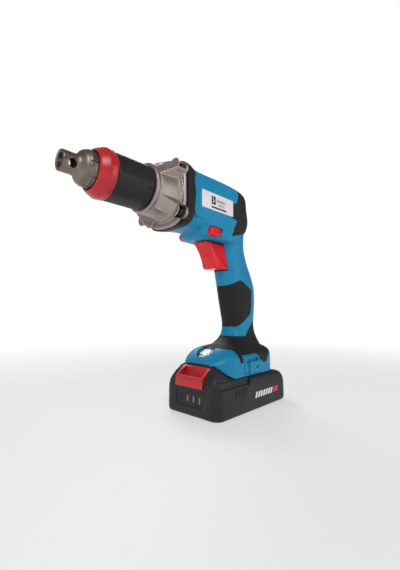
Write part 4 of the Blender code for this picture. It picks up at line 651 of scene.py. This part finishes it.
BARREL = [(-95.7, 30.2, 32.3, 32.3, 4.2), (-89.0, 29.0, 32.3, 31.7, 4.2), (-83.0, 26.6, 32.0, 30.9, 4.0),
          (-74.0, 24.0, 32.0, 30.5, 3.6), (-60.0, 24.0, 32.2, 30.5, 3.4), (-35.0, 24.0, 32.5, 30.5, 3.4),
          (-12.0, 24.0, 32.5, 30.0, 3.2), (5.0, 22.5, 31.5, 28.0, 3.0), (14.0, 19.5, 29.0, 25.0, 2.8),
          (21.0, 13.5, 22.0, 18.0, 2.4)]
GRIP = [(60.0, -26.0, 44.0, 28.8), (66.5, -17.0, 43.5, 23.3), (73.0, -8.0, 41.0, 19.0), (80.0, -3.5, 38.5, 16.5),
        (90.0, -2.0, 36.5, 16.0), (100.0, -3.5, 37.2, 16.6), (118.0, -8.0, 39.0, 17.2), (134.0, -12.0, 38.5, 16.8),
        (148.0, -15.5, 32.5, 16.4), (160.0, -18.0, 25.0, 16.3), (176.0, -22.5, 18.0, 16.8),
        (188.0, -27.0, 16.0, 18.3), (203.0, -33.0, 16.5, 20.3)]
NECK = [(180.6, -59.0, -8.0, 18.5), (183.0, -63.5, -4.0, 21.2), (190.0, -66.0, 0.0, 22.6),
        (205.0, -67.0, 2.0, 22.8)]
FOOT = [(-52.0, 19.0, 50.0, 53.5), (-47.0, 25.0, 48.0, 58.5), (-39.0, 30.0, 49.0, 64.0), (-29.0, 33.2, 51.0, 66.8),
        (0.0, 33.2, 51.0, 69.0), (26.0, 33.2, 53.0, 69.0), (37.0, 32.2, 55.0, 67.0), (44.0, 25.2, 55.0, 63.0)]
FOOT_UNDER = 35.5


def barrel_loft(inset, count=40, steps=80, start=-95.7, end=21.0):
    rings = []
    for x, half, up, down, power in through(BARREL, count):
        if not start - 0.01 <= x <= end + 0.01:
            continue
        depth = max(0.0, (x - 5.0) / 16.0)
        rear = x - (inset if x > 20.9 else 0.0)
        ring = []
        for across, rise in super_ring(half - inset, up - inset, down - inset, power, steps):
            waist = depth * 6.5 * exp(-((rise - 9.0) / 11.0) ** 2) + depth * 3.5 * max(0.0, -rise / 30.5)
            ring.append((rear - waist, across, AXIS + rise))
        rings.append(ring)
    return loft("barrel", rings)


def upright_loft(table, power, inset, count, steps=64, low=0.0, high=999.0):
    rings = []
    for z, front, rear, half in through(table, count):
        if low <= z <= high:
            ring = super_ring((rear - front) / 2 - inset, half - inset, half - inset, power, steps)
            rings.append([((front + rear) / 2 + a, b, z) for a, b in ring])
    return loft("upright", rings)


def arch_ring(x, half, low, side_z, top_z, power, steps=36):
    """A ring with upright sides up to side_z and an arch from there to top_z."""
    arch = super_ring(half, top_z - side_z, 1.0, power, steps)[1:steps // 2]
    return [(x, half, low), (x, half, side_z), *[(x, a, side_z + b) for a, b in arch],
            (x, -half, side_z), (x, -half, low)]


def foot_loft(inset, count=32):
    return loft("foot", [arch_ring(x, half - inset, FOOT_UNDER, side_z - inset / 2, top_z - inset, 2.3)
                         for x, half, side_z, top_z in through(FOOT, count)])


NECK_POWER, GRIP_POWER = 4.0, 2.7


def housing_solids(inset):
    return [barrel_loft(inset), upright_loft(NECK, NECK_POWER, inset, 12),
            upright_loft(GRIP, GRIP_POWER, inset, 48), foot_loft(inset)]


# %% [markdown]
# ## Lamp seat and hook seats
# The lamp looks out of a raised round rim near the foot's front edge. On each side of the foot stands a
# small plate with a screw hole, and a frame round a slot above it, where a belt hook is fastened. These
# belong to the moulding, so they join the form before it is melted. So does the low pad under the label.

# %% Details that belong to the moulding
LAMP_AT = Matrix.Translation((-38.5, 0, 60.0)) @ Matrix.Rotation(radians(-33), 4, "Y")


def lamp_turned(name, profile, steps=72):
    """Spin (height, radius) points about the lamp's own axis."""
    piece = turned(name, profile, steps, (0.0, 0.0, 0.0))
    piece.data.transform(LAMP_AT @ Matrix.Rotation(radians(-90), 4, "Y"))
    return piece


def facing(side, low, high):
    """Low and high y for a block that reaches from low to high on one side of the tool."""
    return sorted((side * low, side * high))


def side_prism(name, outline, side, low, high):
    return prism(name, outline, "Y", *facing(side, low, high))


def side_pillow(name, outline, side, low, high, radius):
    return pillow(name, outline, "Y", *facing(side, low, high), radius)


LABEL_SIDE_Y = 24.55
SKIN_DEPTH = 1.6
form_parts = housing_solids(0.0)
form_parts.append(lamp_turned("lamp_rim", [(-6.0, 0), (-6.0, 12.7), (0.2, 12.0), (0.9, 11.5), (0.9, 0)]))
for side in (-1, 1):
    form_parts.append(side_pillow("frame", rectangle((-17.2, 39.2), (8.6, 56.8), 1.0, 4), side, 28.0, 35.7, 0.6))
    form_parts.append(side_pillow("label_pad", rectangle((-73.4, 206.4), (-20.2, 227.6), 1.2),
                                  side, 22.0, LABEL_SIDE_Y, 0.5))
form = melt(merged("form", *form_parts), 0.75, 4)
core = melt(merged("core", *housing_solids(SKIN_DEPTH)), 1.3, 2)
core_gap = melt(merged("core_gap", *housing_solids(SKIN_DEPTH - 0.25)), 1.3, 2)
print("form faces:", len(form.data.polygons))

# %% [markdown]
# ## Cuts in the form
# The foot is hollow below: the pack's raised front and its rail slide in there. Crisp cuts come after the
# melting: the slots of the hook frames, the plates in front of them, the pocket for the label, the
# opening round the direction lever and the grooves under the front of the barrel.

# %% Pack clearance and crisp cuts
HOOD = [(-64.4, 29.9, 26.0, 34.0), (-62.0, 31.4, 29.0, 40.5), (-56.5, 32.3, 30.7, 46.4), (-50.5, 32.9, 32.0, 50.8),
        (-40.0, 32.9, 33.0, 43.0), (-29.0, 32.9, 33.5, 36.2)]


def hood_loft(grow, low=24.0, power=3.0):
    rings = []
    last = len(HOOD) - 1
    for index, (x, half, side_z, top_z) in enumerate(HOOD):
        x += -grow if index == 0 else grow if index == last else 0.0
        rings.append(arch_ring(x, half + grow, low, side_z + grow, top_z + grow, power))
    return loft("hood", rings)


def rail_solids(fit):
    front = -70.0 if fit else -32.0
    base = 33.5 if fit else 34.2
    neck = box("rail_neck", (front, -20.0 - fit, base), (28.0 + fit, 20.0 + fit, 43.0 + fit))
    lip = box("rail_lip", (front, -23.5 - fit, 38.6 - fit), (28.0 + fit, 23.5 + fit, 43.0 + fit))
    return join(neck, lip)


cut(form, hood_loft(0.6), rail_solids(0.4))
LEVER_AT = (-50.0, 186.8)


def lever_outline(grow, steps=40):
    return [(LEVER_AT[0] + a, LEVER_AT[1] + b) for a,
            b in super_ring(8.2 + grow, 4.5 + grow, 4.5 + grow, 2.6, steps)]


LEVER_MOUTH = rounded([(-60.4, 182.6), (-58.0, 181.4), (-42.0, 181.0), (-39.6, 183.4), (-37.2, 191.6),
                       (-44.0, 192.6), (-57.8, 192.4), (-60.6, 189.6)], 1.6)
OUTSIDE = 50.0
for side in (-1, 1):
    cut(form, side_prism("hook_slot", rectangle((-15.2, 49.6), (6.6, 54.9), 0.6), side, 33.5, OUTSIDE))
    join(form, side_pillow("hook_plate", rectangle((-10.6, 39.0), (12.8, 51.0), 1.2), side, 29.5, 37.2, 0.45))
    cut(form, side_prism("hook_hole", circle((3.1, 44.6), 1.8), side, 31.5, OUTSIDE),
        side_prism("label_pocket", rectangle((-72.1, 207.6), (-21.3, 226.4), 1.2), side, 24.15, OUTSIDE),
        side_prism("lever_mouth", LEVER_MOUTH, side, 20.2, OUTSIDE))
    for z in (188.9, 195.6):
        groove = rounded([(-86.0, z + 1.9), (-86.0, z - 1.6), (-63.5, z - 1.9), (-65.5, z + 1.9)], 1.0)
        cut(form, side_prism("chin_groove", groove, side, 21.6, OUTSIDE))
print("form after cuts:", len(form.data.polygons))

# %% [markdown]
# ## Overmould and shell
# The soft black skin lies in recesses of the blue shell. Seen from the side, each recess has an outline,
# and that outline extruded through the tool marks out both the skin and the place it fills. The skin is
# the form inside the outline, down to a core 1.6 mm below the surface. The shell is what remains. A thin
# gap between them shows as the dark line that a real overmould has.

# %% Overmould outlines
OUTLINES = {
    "front_band": [(-98.0, 178.0), (-86.0, 178.0), (-86.5, 189.0), (-81.8, 197.0), (-84.3, 203.0), (-82.0, 217.0),
                   (-84.5, 230.0), (-79.2, 241.0), (-77.0, 256.0), (-98.0, 256.0)],
    "rear_cap": [(-21.5, 187.0), (16.0, 198.0), (30.0, 199.0), (30.0, 256.0), (-5.0, 256.0), (-6.0, 243.0),
                 (-14.0, 226.0), (-26.0, 221.0), (-26.0, 207.0), (-13.0, 205.7)],
    "grip_panel": [(-50.0, 86.3), (1.1, 86.8), (21.1, 102.5), (23.2, 130.0), (2.0, 141.0), (-14.0, 133.0),
                   (-50.0, 127.0)],
    "grip_skirt": [(-50.0, 69.0), (-42.0, 66.7), (-25.0, 63.5), (-24.9, 59.5), (-23.0, 50.4), (-18.2, 50.2),
                   (-18.2, 58.0), (9.6, 58.0), (13.6, 52.0), (14.2, 47.7), (26.4, 46.9), (36.2, 61.0),
                   (60.0, 66.0), (60.0, 190.0), (13.0, 190.0), (12.0, 176.0),
                   (18.0, 160.0), (32.4, 139.9), (32.6, 99.7), (9.1, 76.1), (-50.0, 77.5)],
}
CORNER_RADII = {"front_band": 2.2, "rear_cap": 1.6, "grip_panel": 3.0, "grip_skirt": 2.4}


def region(name, amount=0.0):
    outline = rounded(OUTLINES[name], CORNER_RADII[name])
    return through_prism("region", grown(outline, -amount) if amount else outline, 60.0)


skins = {}
for name in OUTLINES:
    skin = twin(form, name)
    boolean(skin, region(name, 0.28), "INTERSECT")
    boolean(skin, core_gap, "DIFFERENCE", keep=True)
    skins[name] = skin
shell = twin(form, "shell")
for name in OUTLINES:
    wrap = region(name)
    boolean(wrap, core, "DIFFERENCE", keep=True)
    cut(shell, wrap)

# %% Hollow, openings and screws
SCREWS = [(-70.0, 243.5), (-5.0, 240.5), (17.0, 100.0), (29.0, 56.0)]
MOTOR_BAY_RADIUS = 20.9
WALL = 3.8
hollow = rod("motor_bay", -97.0, -13.0, MOTOR_BAY_RADIUS, 64)
join(hollow, barrel_loft(WALL, start=-83.5, end=-73.0), barrel_loft(WALL, start=-60.5, end=-34.5),
     upright_loft(NECK, NECK_POWER, WALL, 12, 40, 184.0), upright_loft(GRIP, GRIP_POWER, WALL, 40, 40, 0.0, 195.0),
     rod("bearing_seat", -14.0, -6.6, 7.15, 48), box("foot_room", (-30.0, -29.0, 48.5), (37.0, 29.0, 60.0)))
for x, z in SCREWS:
    cut(hollow, through_prism("screw_post", circle((x, z), 3.6, 20), 40.0))
cut(shell, hollow)
cut(shell, box("trigger_way", (-70.0, -10.4, 150.7), (-3.0, 10.4, 180.2)),
    box("terminal_way", (28.0, -18.4, 33.5), (35.9, 18.4, 50.0)),
    through_prism("lever_way", lever_outline(0.4), 40.0),
    lamp_turned("lamp_way", [(-6.3, 0), (-6.3, 10.8), (20.0, 10.8), (20.0, 0)]))
for y, z in BOSSES:
    cut(shell, rod("thread", -97.0, -88.7, 2.3, 16, y, z + AXIS))
for x, z in SCREWS:
    cut(shell, prism("shank_way", circle((x, z), 1.6, 20), "Y", -10.3, OUTSIDE))
    head_way = prism("head_way", circle((x, z), 3.3, 32), "Y", 12.2, OUTSIDE)
    for skin in skins.values():
        boolean(skin, head_way, "DIFFERENCE", keep=True)
    cut(shell, head_way)
for number, (x, z) in enumerate(SCREWS, 1):
    head = pillow("head", circle((x, z), 3.0, 32), "Y", 12.5, 14.7, 0.4, 3)
    join(head, prism("shank", circle((x, z), 1.3, 16), "Y", -10.0, 13.0))
    star = [(x + r * cos(tau * i / 12), z + r * sin(tau * i / 12))
            for i, r in enumerate([1.75, 1.2] * 6)]
    cut(head, prism("star", star, "Y", 13.3, 20.0))
    publish(head, f"housing_star_screw_{number}", "tool", "screw", [f"housing_screw_{number}"])

# %% Two halves and four skins
halves = {"left": (shell, -1), "right": (twin(shell, "right"), 1)}
for name, (half, side) in halves.items():
    y_low, y_high = facing(side, -0.15, -90.0)
    cut(half, box("away", (-120.0, y_low, 0.0), (90.0, y_high, 300.0)))
    publish(half, f"housing_shell_{name}", "tool", "blue", [f"housing_{name}"], sharp=34)
for name, skin in skins.items():
    cut(skin, box("parting", (-120.0, -0.12, 0.0), (90.0, 0.12, 300.0)))
    publish(skin, f"overmould_{name}", "tool", "rubber", [name], sharp=34)
for leftover in (form, core, core_gap):
    bpy.data.objects.remove(leftover, do_unlink=True)

# %% [markdown]
# ## Label
# A pale film label sits in its pocket on the left. The print is a plain pictogram and a few ruled lines:
# a small dark square with a light chevron, two boxes, and bars where words would be.

# %% Label and its print
LABEL_FACE_Y = -24.62
label = pillow("label", rectangle((-71.7, 208.0), (-21.7, 226.0), 1.0), "Y", LABEL_FACE_Y, -24.16, 0.12, 2)
publish(label, "rating_label", "tool", "label", ["label_plate"])


def printed(name, outlines, y, look, thick=0.04):
    marks = [prism("mark", outline, "Y", y - thick, y) for outline in outlines]
    return publish(merged(name, *marks), name, "tool", look)


printed("label_marks_dark", [rectangle((-57.6, 214.0), (-51.4, 222.6)), rectangle((-58.0, 210.2), (-34.0, 212.0)),
                             rectangle((-49.2, 218.6), (-36.4, 219.7)), rectangle((-47.4, 214.6), (-38.0, 215.4))],
        -24.61, "ink")
frame_lines = []
LINE = 0.25
for low, high in (((-50.2, 213.4), (-35.4, 216.8)), ((-50.2, 217.6), (-35.4, 221.0))):
    frame_lines += [rectangle(low, (high[0], low[1] + LINE)), rectangle((low[0], high[1] - LINE), high),
                    rectangle(low, (low[0] + LINE, high[1])), rectangle((high[0] - LINE, low[1]), high)]
printed("label_marks_grey", frame_lines, -24.605, "ink_grey")
printed("label_marks_light", [[(-56.2, 215.4), (-55.0, 215.4), (-53.0, 218.3), (-55.0, 221.2), (-56.2, 221.2),
                               (-54.2, 218.3)]], -24.63, "label")

# %% [markdown]
# ## Trigger and direction lever
# Both are glossy red mouldings under a finger, so every edge is rounded. The trigger's front is hollowed
# for a fingertip. The lever goes right through the housing and ends in a low oval pad on each side. Round
# each pad a thin dark plate lies at the bottom of the mouth in the housing. It is painted shade that makes
# the recess read dark.

# %% Controls
trigger_side = [(-12.5, 179.4), (-12.1, 179.0), (-12.0, 152.2), (-12.8, 151.6), (-32.4, 151.6), (-34.2, 152.4),
                (-35.2, 154.4), (-36.0, 157.6), (-37.6, 162.2), (-40.2, 167.4), (-43.4, 172.2), (-46.4, 175.8),
                (-48.6, 177.6), (-49.4, 178.9), (-48.6, 179.7), (-47.0, 179.8)]
trigger = pillow("trigger", rounded(trigger_side[::-1], 0.6, 2), "Y", -10.0, 10.0, 1.9, 5)
join(trigger, rod("plunger", -14.0, -0.8, 2.0, 32, 0.0, 166.0))
publish(trigger, "trigger_finger_lever", "trigger", "gloss_red", ["trigger"])
lever = pillow("lever", lever_outline(0.0), "Y", -24.3, 24.3, 1.5, 6)
publish(lever, "direction_lever_pads", "direction_lever", "gloss_red", ["direction_lever"])
# Painted shade: a thin dark plate at the bottom of each lever mouth darkens the recess round the pad.
for side, tag in ((-1, "left"), (1, "right")):
    mouth_shade = side_prism("mouth_shade", grown(LEVER_MOUTH, -0.15), side, 20.25, 21.1)
    cut(mouth_shade, through_prism("mouth_shade_way", lever_outline(3.4), 40.0))
    publish(mouth_shade, f"lever_mouth_shade_{tag}", "tool", "inner")

# %% [markdown]
# ## Lamp
# A lamp is a mirror bowl, a glowing chip and a clear cover. The bowl is stepped in rings like a real
# reflector, and its rim is a thin bright band. The cover is a shallow clear dome.

# %% Lamp
bowl = lamp_turned("bowl", [
    (-6.0, 1.4), (-6.0, 7.4), (-4.5, 10.5), (-0.2, 10.5), (0.2, 10.2), (0.2, 9.8), (-0.6, 9.6), (-1.0, 8.6),
    (-1.7, 8.3),
    (-2.1, 7.0), (-2.8, 6.6), (-3.2, 5.4), (-3.8, 4.8), (-4.1, 3.6), (-4.7, 2.6), (-5.0, 1.4)])
publish(bowl, "lamp_mirror_bowl", "tool", "chrome", ["lamp_reflector"], sharp=24)
chip = lamp_turned("chip", [(-4.8, 0), (-4.8, 1.2), (-4.0, 1.2), (-3.5, 0.9), (-3.2, 0)], 32)
publish(chip, "lamp_chip", "tool", "emitter", ["lamp_led"])
cover = lamp_turned("cover", [(-0.5, 0), (-0.5, 9.3), (0.1, 9.5), (0.5, 9.2), (0.9, 7.6), (1.1, 4.4), (1.2, 0)])
publish(cover, "lamp_clear_dome", "tool", "lens", ["lamp_lens"])

# %% [markdown]
# ## Battery pack
# The pack is a box with large upright corners, a soft lower edge and a rear that rounds down. Its rings
# are stacked by height, and each level has its own front, rear and width. It is then split along the
# seam, which runs level from the front and climbs in a diagonal on each side. In front of the diagonal
# the cover has a ribbed band, and above the band the corners step back round the raised middle.

# %% Pack form
def pack_ring(z, inset, front, rear, half, corner=10.0, arc=8):
    corner = max(1.5, corner - inset)
    front, rear, half = front + inset, rear - inset, half - inset
    ring = []
    for centre_x, centre_y, first in ((rear - corner, half - corner, 0), (front + corner, half - corner, 1),
                                      (front + corner, -half + corner, 2), (rear - corner, -half + corner, 3)):
        for step in range(arc + 1):
            angle = pi / 2 * (first + step / arc)
            ring.append((centre_x + corner * cos(angle), centre_y + corner * sin(angle), z))
    return ring


PACK_FRONT = -64.4
PACK_HALF = 37.5
PACK_LEVELS = [(0.0, 2.4, 61.5), (0.2, 1.6, 62.6), (0.7, 0.9, 63.6), (1.5, 0.4, 64.3), (2.6, 0.1, 64.7),
               (4.0, 0.0, 64.9), (8.0, 0.0, 65.0), (14.0, 0.0, 65.0), (18.0, 0.0, 64.8), (22.0, 0.0, 64.3),
               (26.0, 0.1, 63.2), (29.0, 0.5, 61.6), (31.5, 1.1, 59.4), (33.3, 1.9, 57.0), (34.5, 2.9, 54.2),
               (35.2, 4.2, 51.0)]



pack = loft("pack", [pack_ring(z, inset, PACK_FRONT, rear, PACK_HALF) for z, inset, rear in PACK_LEVELS])
front_block = pillow("front_block", rectangle((-29.3, 3.6), (29.3, 34.0), 2.0, 4), "X", -65.0, -46.0, 0.9)
join(pack, front_block)
cut(pack, loft("room", [pack_ring(z, 2.4, -62.0, 62.4, 35.0, 9.0) for z in (2.2, 26.2)]))

# %% Split along the seam
SEAM = [(-80.0, 18.0), (-21.0, 18.0), (-9.0, 33.6), (45.0, 33.6), (45.0, 60.0), (-80.0, 60.0)]
upper = through_prism("upper", grown(SEAM, -0.2), 60.0)
join(upper, box("apron", (-80.0, -26.5, 4.5), (-61.5, 26.5, 19.0)))
lower = through_prism("lower", SEAM, 60.0)
join(lower, box("apron_way", (-80.0, -26.7, 4.3), (-61.3, 26.7, 19.0)))
base = twin(pack, "base")
cut(base, lower)
cover = pack
boolean(cover, upper, "INTERSECT")

# %% [markdown]
# ## Pack cover
# The cover carries the raised front, the rail with its terminal slots, the ribbed bands and the pocket
# for the release button. A sunken panel below the button holds the charge gauge.

# %% Cover details
SHOULDER_REAR = 64.2
shoulder = loft("shoulder", [pack_ring(z, -5.0, PACK_FRONT, SHOULDER_REAR, PACK_HALF) for z in (28.4, 50.0)])
cut(shoulder, loft("inside", [pack_ring(z, inset, PACK_FRONT, SHOULDER_REAR, PACK_HALF)
                              for z, inset in ((27.0, 1.9), (30.5, 3.2), (60.0, 7.0))]))
SHOULDER_SIDE = [(-80.0, 20.0), (-18.4, 20.0), (-9.6, 31.0), (-7.0, 60.0), (-80.0, 60.0)]
boolean(shoulder, through_prism("range", SHOULDER_SIDE, 60.0), "INTERSECT")
cut(shoulder, box("middle", (-80.0, -29.6, 20.0), (0.0, 29.6, 60.0)))
cut(cover, shoulder)
join(cover, hood_loft(0.0), rail_solids(0.0))
for side in (-1, 1):
    for x in (-37.0, -31.0, -25.0, -19.2, -14.2):
        bottom = 18.8 if x < -22 else 18.8 + (x + 21.0) * 1.3 + 1.6
        cut(cover, prism("rib_line", circle((x, side * 38.0), 1.45, 24), "Z", bottom, 27.0))
BUTTON_SIDE = [(-66.5, 28.4), (-65.3, 28.4), (-65.3, 32.8), (-52.2, 32.8), (-52.2, 47.8), (-57.0, 45.2),
               (-66.5, 38.2)]
POCKET_SIDE = [(-68.0, 24.1), (-64.9, 24.1), (-64.9, 28.5), (-51.9, 28.5), (-51.9, 60.0), (-68.0, 60.0)]
cut(cover, prism("button_pocket", POCKET_SIDE, "Y", -19.3, 19.3),
    prism("spring_well", circle((-58.5, 0.0), 3.1, 24), "Z", 22.4, 29.0))
BLADE_PITCH = 9.0
for index in range(4):
    y = BLADE_PITCH * (index - 1.5)
    cut(cover, box("blade_slot", (12.0, y - 0.9, 36.9), (29.0, y + 0.9, 42.1)))
cut(cover, box("clip_channel", (9.4, -15.0, 37.2), (12.2, 15.0, 41.8)))
print("cover faces:", len(cover.data.polygons))

# %% Gauge panel
KNOB_AT = (11.1, 18.0)
panel = pillow("panel", rectangle((-17.2, 9.4), (19.6, 23.4), 1.4, 4), "X", -75.0, -64.3, 0.4)
for piece in (cover, base):
    boolean(piece, panel, "DIFFERENCE", keep=True)
bpy.data.objects.remove(panel, do_unlink=True)
gauge_bars = []
for index in range(3):
    y = 2.8 - 8.2 * index
    for piece in (cover, base):
        cut(piece, box("window", (-75.0, y - 1.15, 13.6), (-59.0, y + 1.15, 20.2)))
    gauge_bars.append(pillow("bar", rectangle((y - 1.0, 13.8), (y + 1.0, 20.0), 0.4, 4),
                             "X", -64.4, -59.8, 0.15, 2))
gauge_bars.append(box("light_bar", (-61.0, -16.6, 13.8), (-59.8, 5.8, 18.0)))
gauge = gauge_bars[0]
join(gauge, *gauge_bars[1:])
publish(gauge, "charge_gauge_lights", "battery", "gauge", ["gauge_lights"])
for piece in (cover, base):
    cut(piece, rod("gauge_well", -68.0, -54.0, 3.0, 40, *KNOB_AT))
publish(base, "battery_tub", "battery", "pack", ["battery_base"])
publish(cover, "battery_hood_cover", "battery", "pack", ["battery_cover"])
knob = turned("knob", [(-64.5, 0), (-64.55, 1.7), (-64.4, 2.3), (-64.0, 2.6), (-60.0, 2.6), (-60.0, 0)], 40,
              (0.0, *KNOB_AT))
publish(knob, "gauge_push_button", "gauge_button", "pack", ["gauge_button"])

# %% [markdown]
# ## Release button
# The red button is a tray: a lip in front, a hollow for two fingertips and a raised rim on three sides.
# The outside is a rounded block with the slope of the pack's front. The hollow is a second rounded block
# that leaves the rim standing.

# %% Release button
button = pillow("button", rounded(BUTTON_SIDE, 0.45, 3), "Y", -19.0, 19.0, 0.4)
hollow_side = rounded([(-64.8, 37.0), (-63.6, 35.7), (-58.2, 37.2), (-55.2, 41.0), (-54.1, 46.4), (-54.6, 60.0),
                       (-64.8, 60.0)], 0.8)
cut(button, pillow("hollow", hollow_side[::-1], "Y", -16.3, 16.3, 0.9))
publish(button, "battery_release_tray", "release_button", "ring_red", ["release_button"])

# %% [markdown]
# ## Pack graphics
# The pack's side carries a plain printed stripe pattern: a row of slanted white bars that ends in a red
# one. They are thin films that lie on the flat of the side.

# %% Stripes
def stripe(name, side, x, width, low=12.4, high=18.4, lean=2.2):
    """A slanted bar of film that lies on one side of the pack."""
    outline = [(x, low), (x + width, low), (x + width + lean, high), (x + lean, high)]
    return side_prism(name, outline, side, 37.45, 37.54)


for side, tag in ((-1, "left"), (1, "right")):
    bars = [stripe("bar", side, -3.0 + 5.0 * i, 3.3) for i in range(7)]
    publish(merged("white", *bars), f"pack_stripes_white_{tag}", "battery", "ink_white")
    publish(stripe("red", side, 32.6, 9.8), f"pack_stripe_red_{tag}", "battery", "ink_red")

# %% [markdown]
# ## Finishes of the inner parts
# Every part of the mechanism that keeps its own shape gets its real finish: ground bearings, hardened
# gears, copper windings, green boards, and springs of bright wire.

# %% Inner parts
INNER = {
    "steel": ["anvil", "hammer", "spindle", "motor_pinion", "rotor", "ring_gear", "planet_1", "planet_2", "planet_3"],
    "bright": ["nose_bearing", "front_bearing", "rear_bearing", "cam_ball_1", "cam_ball_2", "hammer_spring",
               "trigger_spring", "release_spring"],
    "bronze": ["anvil_bush", "battery_clips"],
    "cast": ["motor_plate"],
    "copper": ["stator"],
    "board": ["motor_board", "battery_board"],
    "inner": ["switch_body", "terminal_block"],
    "sleeve": ["fan"],
    "cell": ["cell_1", "cell_2", "cell_3", "cell_4", "cell_5"],
}
for look, names in INNER.items():
    for name in names:
        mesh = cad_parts[name].data
        mesh.materials.clear()
        mesh.materials.append(FINISH[look])
print("CAD nodes with a finish:", sum(len(names) for names in INNER.values()))
